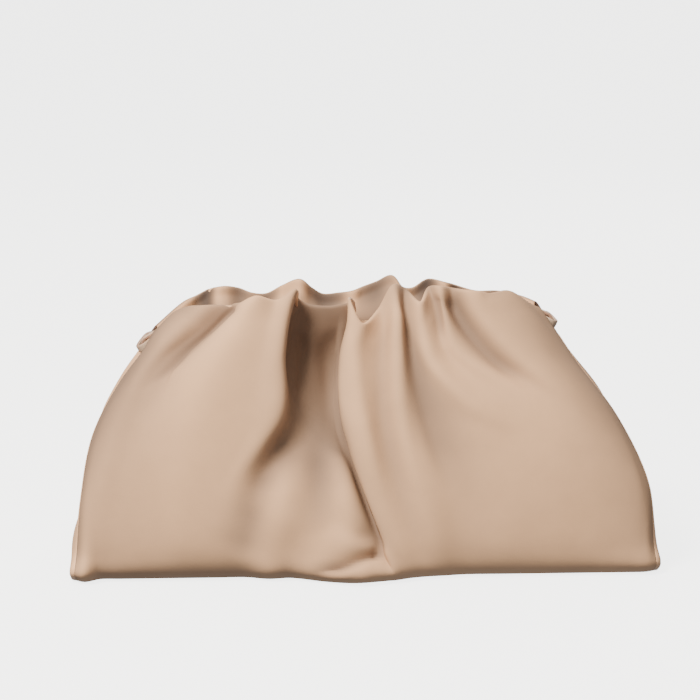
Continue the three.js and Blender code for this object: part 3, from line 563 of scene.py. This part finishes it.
def painted_fold_shade(rows, side, lip_row, pressed):
    """Painted shade for each point, by how deep it lies in a pressed crease or a hollow between folds, or
    under its lip and, on the back panel, in a pocket inside the mouth.
    """
    out = side * rows[..., 1]
    shade = np.maximum(0, -pressed / SHADE_CREASE) + np.zeros_like(out)
    for reach, depth in SHADE_REACHES:
        front = near_columns(out, reach, lambda near: near.max(axis=-1))
        filled = near_columns(front, reach, lambda near: near.min(axis=-1))
        shade += (filled - out) / depth
    weights = np.hanning(2 * SHADE_BLUR + 3)[1:-1]
    shade = near_columns(shade, SHADE_BLUR, lambda near: near @ (weights / weights.sum()))
    under = (rows[lip_row, :, 2] - rows[:lip_row, :, 2] - SHADE_LIP) / SHADE_UNDER_LIP
    shade[:lip_row] = np.maximum(under, 0)
    if side > 0:
        rear = near_columns(out[:lip_row], SHADE_POCKET, lambda near: near.min(axis=-1))
        pockets = out[:lip_row] - near_columns(rear, SHADE_POCKET, lambda near: near.max(axis=-1))
        shade[:lip_row] += pockets / SHADE_POCKET_DEPTH
    return np.clip(shade, 0, SHADE_MOST[side])


def grid_bmesh(rows, shade=None):
    """A sheet whose grid of corners lies on the rows of points, with a UV map in metres along it."""
    rows = np.asarray(rows)
    height, width = rows.shape[:2]
    bm = bmesh.new()
    bmesh.ops.create_grid(bm, x_segments=width - 1, y_segments=height - 1, size=0.5)
    along = np.linalg.norm(np.diff(rows[:, width // 2], axis=0), axis=1).cumsum()
    across = np.linalg.norm(np.diff(rows[height // 2], axis=0), axis=1).cumsum()
    # the 'fold' attribute carries each point's painted shade
    fold = bm.verts.layers.float.new("fold")
    flat = {}
    for vert in bm.verts:
        i = round((vert.co.x + 0.5) * (width - 1))
        j = round((vert.co.y + 0.5) * (height - 1))
        flat[vert.index] = (across[i - 1] if i else 0, along[j - 1] if j else 0)
        vert.co = rows[j, i]
        vert[fold] = 0 if shade is None else shade[j, i]
    uv = bm.loops.layers.uv.new("UVMap")
    for face in bm.faces:
        face.smooth = True
        for loop in face.loops:
            loop[uv].uv = flat[loop.vert.index]
    bm.normal_update()
    return bm


def grid_mesh(name, rows, closed=False, shade=None):
    bm = grid_bmesh(rows, shade)
    if closed:
        bmesh.ops.remove_doubles(bm, verts=bm.verts, dist=1e-6)
        bmesh.ops.recalc_face_normals(bm, faces=bm.faces)
    mesh = bpy.data.meshes.new(name)
    bm.to_mesh(mesh)
    bm.free()
    return mesh


def add_piece(name, mesh, materials, node):
    """A new object at the origin that rides on the root body and stands for a CAD node."""
    piece = bpy.data.objects.new(name, mesh)
    bpy.context.scene.collection.objects.link(piece)
    for material in materials:
        mesh.materials.append(material)
    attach(piece, "root")
    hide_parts(*node)
    return piece


def thicken(piece, thickness, bevel=0.0):
    """Gives a sheet its wall, with the second material inside and the third on its cut edges."""
    wall = piece.modifiers.new("Wall", "SOLIDIFY")
    wall.thickness = thickness
    wall.offset = 0
    wall.material_offset = 1
    wall.material_offset_rim = 2
    if bevel:
        edge = piece.modifiers.new("Rounded edge", "BEVEL")
        edge.width = bevel
        edge.segments = EDGE_SEGMENTS
        edge.limit_method = "ANGLE"
        edge.angle_limit = EDGE_ANGLE
    return piece


def seam_line(rows, end, beside, reach):
    """A line beside the sheet's side edge, on in the sheet's own direction."""
    out = rows[:, end] - rows[:, beside]
    return rows[:, end] + out / np.linalg.norm(out, axis=1, keepdims=True) * reach


def gusset_rows(front, back, side):
    """A side panel: along both seams first, then folded in along its middle."""
    end, beside = (0, 1) if side < 0 else (-1, -2)
    top = sum(STRETCH_STEPS[:SEAM_TOP])
    back_top = sum(BACK_STRETCH_STEPS[:SEAM_TOP])
    front_seam, back_seam = front[top:][::-1], back[:len(back) - back_top]
    reaches = (SEAM_LAP, SEAM_TURN, SEAM_GAP + SEAM_LEAD)
    edges = [seam_line(front_seam, end, beside, reach) for reach in reaches]
    edges += [seam_line(back_seam, end, beside, reach) for reach in reaches[::-1]]
    sections = np.array(GUSSET_SECTIONS)
    stretches = len(sections) - 1
    places = np.linspace(0, stretches, stretches * GUSSET_STEPS + 1)
    levels = single_curve(sections[:, 1:], places)
    shares = np.interp(places, range(stretches + 1), sections[:, 0])
    lines = np.stack([at_lengths(edge, shares) for edge in edges], axis=1)
    base_x = HALF_LENGTH * FRONT[end]["footX"] + side * (SEAM_GAP + WALL / 2)
    rows = []
    for (near, near_turn, near_lead, far_lead, far_turn, far), (fold_in, ear, square) in zip(lines, levels):
        near_lead, far_lead = mix(near_turn, near_lead, square), mix(far_turn, far_lead, square)
        outer = mix(near_lead[0], base_x, square) + side * EAR_BULGE * ear
        middle = outer - side * fold_in * HALF_LENGTH
        across = [near, near_lead]
        for share, fold in GUSSET_ACROSS:
            place = mix(near_lead, far_lead, share)
            across.append([mix(outer, middle, fold), place[1], place[2]])
        rows.append([*across, far_lead, far])
    return curve_rows(np.array(rows), GUSSET_ACROSS_STEPS)


def frame_end(side):
    """The middle of the bar at a frame end, and the way out along the loop that hangs on it."""
    mouth = MOUTH_LEFT if side < 0 else MOUTH_RIGHT
    along = np.array([side * math.cos(FRAME_TILT), 0, side * math.sin(FRAME_TILT)])
    bar = np.array([mouth, 0, frame_z(mouth)]) + along * (FRAME_CLEAR + FRAME_BAR / 2)
    tilt = side * FRAME_TILT - LOOP_DROOP
    return bar, np.array([side * math.cos(tilt), 0, math.sin(tilt)])


def tab_rows(side):
    """A flat leather loop round a frame end's bar, closed in a long ring."""
    bar, out = frame_end(side)
    middle = bar + out * (TAB_STRAIGHT / 2 - FRAME_BAR / 2 - TAB_CLEAR)
    up = np.array([-out[2], 0, out[0]]) * side
    radius = TAB_INNER_TALL / 2 + TAB_WALL / 2
    ring = []
    for start, shift in ((-90, TAB_STRAIGHT / 2), (90, -TAB_STRAIGHT / 2)):
        for step in range(TAB_TURN_STEPS + 1):
            angle = math.radians(start + 180 * step / TAB_TURN_STEPS)
            ring.append(middle + out * (shift + radius * math.cos(angle)) + up * radius * math.sin(angle))
    ring.append(ring[0])
    width = MOUTH_GAP - 2 * TAB_SIDE_CLEAR
    return np.array([[place + (0, share * width, 0) for share in BAND_SHARES] for place in ring])


def strap_end(side):
    """The strap's folded end: from its sewn tip through the loop and back along the outside."""
    bar, out = frame_end(side)
    inner = FRAME_BAR / 2 + TAB_CLEAR + STRAP_THICK / 2
    loop_end = TAB_STRAIGHT - FRAME_BAR / 2 - TAB_CLEAR + TAB_INNER_TALL / 2 + TAB_WALL
    outer = loop_end + STRAP_CLEAR + STRAP_THICK / 2
    mid = (inner + outer) / 2
    half = MOUTH_GAP / 2
    stops = (
        # reach out along the frame, y, rise, the way the face looks: out and y
        (mid - STRAP_THICK * 0.4, half * 4, STRAP_RISE, -1, 0),
        (mix(inner, mid, 0.35), half * 2.2, STRAP_RISE * 0.4, -1, -0.2),
        (inner, half * 0.9, 0, -1, 0),
        (inner, -half * 0.9, 0, -1, 0),
        (mix(inner, mid, 0.4), -half * 1.9, 0, -0.6, -0.8),
        (mid, -half * 2.2, 0, 0, -1),
        (mix(outer, mid, 0.4), -half * 1.9, 0, 0.6, -0.8),
        (outer, -half * 0.9, 0, 1, 0),
        (outer, half * 0.9, 0, 1, 0),
        (mix(outer, mid, 0.3), half * 2.4, STRAP_RISE * 0.5, 1, 0.2),
        (mid + STRAP_THICK * 0.2, half * 4, STRAP_RISE, 1, 0.2),
    )
    return [
        (bar + out * reach + (0, y, rise), out * face_out + (0, face_y, 0))
        for reach, y, rise, face_out, face_y in stops
    ]


def strap_down(panel, route):
    """Stops down the back panel, a strap's clearance off it."""
    standoff = WALL / 2 + STRAP_CLEAR + STRAP_THICK / 2
    points = np.array([(x * HALF_LENGTH, 0, z * HEIGHT) for x, z in route])
    stops = []
    for x, _y, z in single_curve(points, np.linspace(0, len(route) - 1, STRAP_ROUTE_STOPS)):
        place, normal, _index, _distance = panel.ray_cast(Vector((x, 1, z)), Vector((0, -1, 0)))
        if normal.y < 0:
            normal.negate()
        stops.append((np.array(place + normal * standoff), np.array(normal)))
    return stops


def band_rows(stops, step):
    """Rows across a flat band through stops, each a place and the way that the band's face looks there."""
    places = np.array([place for place, _face in stops])
    faces = np.array([face / np.linalg.norm(face) for _place, face in stops])
    steps = [max(2, round(length / step)) for length in np.linalg.norm(np.diff(places, axis=0), axis=1)]
    line = curve_rows(places[None], steps)[0]
    facing = curve_rows(faces[None], steps)[0]
    along = np.gradient(line, axis=0)
    across = np.cross(along, facing)
    across /= np.linalg.norm(across, axis=1, keepdims=True)
    face = np.cross(across, along)
    face /= np.linalg.norm(face, axis=1, keepdims=True)
    low = line[:, 2] - (abs(across[:, 2]) * STRAP_WIDTH + abs(face[:, 2]) * STRAP_THICK) / 2
    line[:, 2] += np.maximum(0, -low)
    width = BAND_SHARES[:, None] * STRAP_WIDTH
    crown = STRAP_CROWN * (1 - (2 * BAND_SHARES[:, None]) ** 2)
    return line[:, None] + across[:, None] * width + face[:, None] * crown


def add_node(tree, kind, values=None, **settings):
    """A new shader node, with its settings and the values of its inputs."""
    node = tree.nodes.new("ShaderNode" + kind)
    for name, value in settings.items():
        setattr(node, name, value)
    for name, value in (values or {}).items():
        node.inputs[name].default_value = value
    return node


def join(tree, *links):
    """Links, each from a node's output to another node's input."""
    for start, output, end, entry in links:
        tree.links.new(start.outputs[output], end.inputs[entry])


def new_group(name, inputs, outputs):
    """A shader node group with its named inputs and outputs, and its first and last node."""
    tree = bpy.data.node_groups.new(name, "ShaderNodeTree")
    for label, kind, *rest in inputs:
        made = tree.interface.new_socket(name=label, in_out="INPUT", socket_type="NodeSocket" + kind)
        if rest:
            made.default_value = rest[0]
        if len(rest) > 1:
            made.min_value, made.max_value = rest[1:]
    for label, kind in outputs:
        tree.interface.new_socket(name=label, in_out="OUTPUT", socket_type="NodeSocket" + kind)
    return tree, tree.nodes.new("NodeGroupInput"), tree.nodes.new("NodeGroupOutput")


def grain_group(name):
    """Fine leather grain of pebbles and small wrinkles, as a bump height."""
    tree, entry, end = new_group(name, (
        ("Vector", "Vector"),
        ("Pebble size", "Float", 1300, 1, 5000),
        ("Wrinkle size", "Float", 240, 1, 2000),
    ), (("Height", "Float"),))
    pebbles = add_node(tree, "TexVoronoi", {"Smoothness": 0.6, "Randomness": 0.9}, feature="SMOOTH_F1")
    wrinkles = add_node(tree, "TexNoise", {"Detail": 3, "Roughness": 0.55, "Distortion": 0.6})
    dome = add_node(tree, "Math", {0: 1}, operation="SUBTRACT")
    height = add_node(tree, "Math", {1: WRINKLE_WEIGHT}, operation="MULTIPLY_ADD")
    join(
        tree,
        (entry, "Vector", pebbles, "Vector"), (entry, "Pebble size", pebbles, "Scale"),
        (entry, "Vector", wrinkles, "Vector"), (entry, "Wrinkle size", wrinkles, "Scale"),
        (pebbles, "Distance", dome, 1), (wrinkles, "Fac", height, 0), (dome, 0, height, 2),
        (height, 0, end, "Height"),
    )
    return tree


def handling_group(name):
    """Broad soft marks of handling: a colour and a roughness that drift a little over the surface."""
    tree, entry, end = new_group(name, (
        ("Vector", "Vector"),
        ("Colour", "Color", (0.5, 0.5, 0.5, 1)),
        ("Worn colour", "Color", (0.6, 0.6, 0.6, 1)),
        ("Patch size", "Float", 16, 0.1, 500),
        ("Roughness", "Float", 0.5, 0, 1),
        ("Roughness drift", "Float", 0.1, 0, 1),
    ), (("Colour", "Color"), ("Roughness", "Float")))
    patches = add_node(tree, "TexNoise", {"Detail": 4, "Roughness": 0.6})
    soft = add_node(tree, "MapRange", {"From Min": 0.35, "From Max": 0.7})
    blend = add_node(tree, "Mix", data_type="RGBA")
    drift = add_node(tree, "Math", operation="MULTIPLY_ADD")
    join(
        tree,
        (entry, "Vector", patches, "Vector"), (entry, "Patch size", patches, "Scale"),
        (patches, "Fac", soft, "Value"), (soft, "Result", blend, "Factor"),
        (entry, "Colour", blend, MIX_COLOURS[0]), (entry, "Worn colour", blend, MIX_COLOURS[1]),
        (soft, "Result", drift, 0), (entry, "Roughness drift", drift, 1), (entry, "Roughness", drift, 2),
        (blend, MIX_RESULT, end, "Colour"), (drift, 0, end, "Roughness"),
    )
    return tree


def painted_shade_group(name):
    """Painted shade in the hollows of the folds: the tint counts once for each full depth."""
    tree, entry, end = new_group(name, (
        ("Colour", "Color", (0.5, 0.5, 0.5, 1)),
        ("Depth", "Float", 0, 0, 4),
        ("Hollow tint", "Color", (*PAINTED_SHADE_TINT, 1)),
    ), (("Colour", "Color"),))
    deeper = add_node(tree, "Gamma")
    blend = add_node(tree, "Mix", {"Factor": 1}, data_type="RGBA", blend_type="MULTIPLY")
    join(
        tree,
        (entry, "Hollow tint", deeper, "Color"), (entry, "Depth", deeper, "Gamma"),
        (entry, "Colour", blend, MIX_COLOURS[0]), (deeper, "Color", blend, MIX_COLOURS[1]),
        (blend, MIX_RESULT, end, "Colour"),
    )
    return tree


def group_node(tree, name, values=None):
    """A node of a shared group, which is built where it is first needed."""
    group = bpy.data.node_groups.get(name) or GROUPS[name](name)
    return add_node(tree, "Group", values, node_tree=group)


def new_material(name, values):
    """A material of one shader, with the values of the shader's inputs."""
    material = bpy.data.materials.new(name)
    material.use_nodes = True
    tree = material.node_tree
    tree.nodes.clear()
    output, shader = add_node(tree, "OutputMaterial"), add_node(tree, "BsdfPrincipled", values)
    join(tree, (shader, "BSDF", output, "Surface"))
    return material, tree, shader


def leather_material(name, colour):
    """Dyed leather with a fine grain, broad marks of handling and painted shade that deepens its colour in
    the folds.
    """
    look = dict(zip(LEATHER_COLUMNS, LEATHERS[name]))
    material, tree, shader = new_material(name, {"Specular IOR Level": LEATHER_SPECULAR})
    # painted shade: the sheet's 'fold' attribute darkens the colour in the folds
    place, depth = add_node(tree, "TexCoord"), add_node(tree, "Attribute", attribute_name="fold")
    grain = group_node(tree, "Leather grain", {
        "Pebble size": look["pebbles"],
        "Wrinkle size": look["pebbles"] * WRINKLE_SHARE,
    })
    handling = group_node(tree, "Soft handling", {
        "Colour": (*colour, 1),
        "Worn colour": (*(min(1, c * look["worn"]) for c in colour), 1),
        "Roughness": look["roughness"],
        "Roughness drift": look["drift"],
    })
    folds = group_node(tree, "Fold colour")
    relief = add_node(tree, "Bump", {"Distance": look["grain"], "Strength": look["bump"]})
    join(
        tree,
        (place, "Object", grain, "Vector"), (place, "Object", handling, "Vector"),
        (grain, "Height", relief, "Height"), (relief, "Normal", shader, "Normal"),
        (depth, "Fac", folds, "Depth"), (handling, "Colour", folds, "Colour"),
        (folds, "Colour", shader, "Base Color"), (handling, "Roughness", shader, "Roughness"),
    )
    if look["ripple"]:
        soft = add_node(tree, "Bump", {"Distance": look["ripple"], "Strength": 0.6})
        waves = add_node(tree, "TexNoise", {"Scale": 42, "Detail": 2.5, "Distortion": 0.8})
        join(
            tree,
            (place, "Object", waves, "Vector"), (waves, "Fac", soft, "Height"),
            (soft, "Normal", relief, "Normal"),
        )
    return material


def brushed_metal(name, colour):
    """Plain satin metal, brushed along the bag."""
    material, tree, shader = new_material(name, {"Metallic": 1})
    place = add_node(tree, "TexCoord")
    stretch = add_node(tree, "Mapping", {"Scale": (0.03, 1, 1)})
    grain = group_node(tree, "Leather grain")
    handling = group_node(tree, "Soft handling", {
        "Colour": (*colour, 1),
        "Worn colour": (*(c * 0.85 for c in colour), 1),
        "Roughness": 0.3,
    })
    relief = add_node(tree, "Bump", {"Distance": 0.00002, "Strength": 0.3})
    join(
        tree,
        (place, "Object", stretch, "Vector"), (stretch, "Vector", grain, "Vector"),
        (place, "Object", handling, "Vector"), (grain, "Height", relief, "Height"),
        (relief, "Normal", shader, "Normal"), (handling, "Colour", shader, "Base Color"),
        (handling, "Roughness", shader, "Roughness"),
    )
    return material


class PouchSizes(bpy.types.PropertyGroup):
    wall: FloatProperty(name="Leather thickness", description="Thickness of the soft leather",
                        default=WALL, min=0.0005, max=0.004, unit="LENGTH")
    edge_round: FloatProperty(name="Edge rounding", description="Rounding of the strap's cut edges",
                              default=0.0004, min=0, max=0.001, unit="LENGTH")


class PouchColours(bpy.types.PropertyGroup):
    leather: FloatVectorProperty(name="Leather", description="Colour of the soft leather", subtype="COLOR",
                                 default=(0.69, 0.4, 0.215), min=0, max=1)
    # painted shade: the strap and its loops get a darker, greyer copy of the bag's leather colour
    strap: FloatVectorProperty(name="Strap", description="Colour of the strap and its loops",
                               subtype="COLOR", default=(0.46, 0.32, 0.21), min=0, max=1)
    edge: FloatVectorProperty(name="Edge", description="Colour of the leather's painted cut edges",
                              subtype="COLOR", default=(0.3, 0.17, 0.11), min=0, max=1)
    metal: FloatVectorProperty(name="Frame metal", description="Colour of the hidden mouth frame",
                               subtype="COLOR", default=(0.7, 0.6, 0.42), min=0, max=1)
    backdrop: FloatVectorProperty(name="Backdrop", description="Colour of the floor and backdrop",
                                  subtype="COLOR", default=(0.35, 0.35, 0.345), min=0, max=1)


def finishes(context, strap=False):
    """A leather piece's materials for its outside, inside and cut edges, each made where first needed."""
    colours = context.scene.pouch_colours
    suede = tuple(c * SUEDE_SHADE for c in colours.leather)
    bag, inside, edge, band = (
        bpy.data.materials.get(name) or leather_material(name, tuple(colour))
        for name, colour in zip(LEATHERS, (colours.leather, suede, colours.edge, colours.strap))
    )
    return [band, band, edge] if strap else [bag, inside, edge]


class POUCH_OT_wrap(bpy.types.Operator):
    """Builds the gathered leather sheet: front panel, base and back panel"""
    bl_idname = "pouch.wrap"
    bl_label = "Leather sheet"

    def execute(self, context):
        *panels, shade = wrap_panels()
        mesh = grid_mesh("leather_sheet", np.concatenate(panels), shade=shade)
        piece = add_piece("leather_sheet", mesh, finishes(context), ["outer_wrap"])
        thicken(piece, context.scene.pouch_sizes.wall)
        return {"FINISHED"}


class POUCH_OT_sides(bpy.types.Operator):
    """Builds the two side panels, folded in along their middle"""
    bl_idname = "pouch.sides"
    bl_label = "Side panels"

    def execute(self, context):
        front, _base, back, _shade = wrap_panels()
        for name, side in (("left", -1), ("right", 1)):
            mesh = grid_mesh(f"side_panel_{name}", gusset_rows(front, back, side))
            if side < 0:
                mesh.flip_normals()
            node = [f"gusset_{name}"]
            piece = add_piece(f"side_panel_{name}", mesh, finishes(context), node)
            thicken(piece, context.scene.pouch_sizes.wall)
        return {"FINISHED"}


class POUCH_OT_tabs(bpy.types.Operator):
    """Builds the leather loops at the frame's ends"""
    bl_idname = "pouch.tabs"
    bl_label = "Loops"

    def execute(self, context):
        for name, side in (("left", -1), ("right", 1)):
            mesh = grid_mesh(f"loop_{name}", tab_rows(side), closed=True)
            node = [f"tab_{name}"]
            piece = add_piece(f"loop_{name}", mesh, finishes(context, True), node)
            thicken(piece, TAB_WALL, context.scene.pouch_sizes.edge_round)
        return {"FINISHED"}


class POUCH_OT_strap(bpy.types.Operator):
    """Builds the narrow strap, folded round both loops and lying behind the bag"""
    bl_idname = "pouch.strap"
    bl_label = "Strap"

    def execute(self, context):
        back = grid_bmesh(wrap_panels()[2])
        panel = BVHTree.FromBMesh(back)
        back.free()
        left, right = strap_end(-1), strap_end(1)
        floor = [
            (np.array([x * HALF_LENGTH, y * HALF_DEPTH, STRAP_THICK / 2]), np.array([0.0, 0, 1]))
            for x, y in STRAP_FLOOR
        ]
        stops = [
            *left, *strap_down(panel, STRAP_LEFT), *floor,
            *strap_down(panel, STRAP_RIGHT)[::-1], *right[::-1],
        ]
        mesh = grid_mesh("strap_band", band_rows(stops, STRAP_STEP))
        piece = add_piece("strap_band", mesh, finishes(context, True), ["strap"])
        thicken(piece, STRAP_THICK, context.scene.pouch_sizes.edge_round)
        return {"FINISHED"}


class POUCH_OT_frame(bpy.types.Operator):
    """Gives the hidden mouth frame its brushed metal"""
    bl_idname = "pouch.frame"
    bl_label = "Mouth frame"

    def execute(self, context):
        metal = brushed_metal("Brushed frame metal", tuple(context.scene.pouch_colours.metal))
        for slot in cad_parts["mouth_frame"].material_slots:
            slot.material = metal
        return {"FINISHED"}


class POUCH_OT_stage(bpy.types.Operator):
    """Builds the pale floor, the soft studio lights and the camera"""
    bl_idname = "pouch.stage"
    bl_label = "Studio stage"

    def execute(self, context):
        bm = bmesh.new()
        bmesh.ops.create_grid(bm, x_segments=1, y_segments=1, size=FLOOR_SIZE)
        mesh = bpy.data.meshes.new("floor")
        bm.to_mesh(mesh)
        bm.free()
        floor = bpy.data.objects.new("floor", mesh)
        context.scene.collection.objects.link(floor)
        floor_material, _tree, _shader = new_material("Pale floor", {
            "Base Color": (*context.scene.pouch_colours.backdrop, 1),
            "Roughness": 0.9,
            "Emission Color": (*FLOOR_GLOW_COLOUR, 1),
            "Emission Strength": FLOOR_GLOW,
        })
        mesh.materials.append(floor_material)
        floor.visible_diffuse = False
        floor.visible_glossy = False
        add_camera(context)
        add_lights(context)
        add_sky(context)
        return {"FINISHED"}


def stand(context, data, place, way):
    """A new object for a camera or a light, which looks one way."""
    made = bpy.data.objects.new(data.name, data)
    made.location = place
    made.rotation_mode = "QUATERNION"
    made.rotation_quaternion = way.to_track_quat("-Z", "Y")
    context.scene.collection.objects.link(made)
    return made


def add_camera(context):
    place, back = camera_point()
    data = bpy.data.cameras.new("camera")
    data.lens = CAMERA_LENS
    data.sensor_width = CAMERA_SENSOR
    context.scene.camera = stand(context, data, place, -back)


def add_lights(context):
    for name, place, size, power in LIGHTS:
        light = bpy.data.lights.new(name, "AREA")
        light.size = size
        light.energy = power
        light.color = LIGHT_COLOUR
        stand(context, light, place, Vector(LIGHT_TARGET) - Vector(place))


def add_sky(context):
    """Soft light from all around, which changes with the height of its direction."""
    world = bpy.data.worlds.new("studio")
    world.use_nodes = True
    tree = world.node_tree
    background = tree.nodes["Background"]
    background.inputs["Strength"].default_value = WORLD_LIGHT
    place, split = add_node(tree, "TexCoord"), add_node(tree, "SeparateXYZ")
    level, ramp = add_node(tree, "MapRange", {"From Min": -1}), add_node(tree, "ValToRGB")
    ramp.color_ramp.elements.new(0.5)
    for element, (height, colour) in zip(ramp.color_ramp.elements, WORLD_COLOURS):
        element.position = (height + 1) / 2
        element.color = (*colour, 1)
    join(
        tree,
        (place, "Generated", split, "Vector"), (split, "Z", level, "Value"), (level, "Result", ramp, "Fac"),
        (ramp, "Color", background, "Color"),
    )
    context.scene.world = world


class POUCH_PT_panel(bpy.types.Panel):
    bl_label = "Cloud pouch bag"
    bl_space_type = "VIEW_3D"
    bl_region_type = "UI"
    bl_category = "Pouch"

    def draw(self, context):
        for operator in OPERATORS:
            self.layout.operator(operator.bl_idname)


GROUPS = {"Leather grain": grain_group, "Soft handling": handling_group, "Fold colour": painted_shade_group}
OPERATORS = (POUCH_OT_wrap, POUCH_OT_sides, POUCH_OT_tabs, POUCH_OT_strap, POUCH_OT_frame, POUCH_OT_stage)
CLASSES = (PouchSizes, PouchColours, *OPERATORS, POUCH_PT_panel)


def register():
    for cls in CLASSES:
        bpy.utils.register_class(cls)
    bpy.types.Scene.pouch_sizes = PointerProperty(type=PouchSizes)
    bpy.types.Scene.pouch_colours = PointerProperty(type=PouchColours)


def unregister():
    del bpy.types.Scene.pouch_colours
    del bpy.types.Scene.pouch_sizes
    for cls in reversed(CLASSES):
        bpy.utils.unregister_class(cls)


def main():
    register()
    bpy.ops.pouch.wrap()
    bpy.ops.pouch.sides()
    bpy.ops.pouch.tabs()
    bpy.ops.pouch.strap()
    bpy.ops.pouch.frame()
    bpy.ops.pouch.stage()


if __name__ == "__main__":
    main()
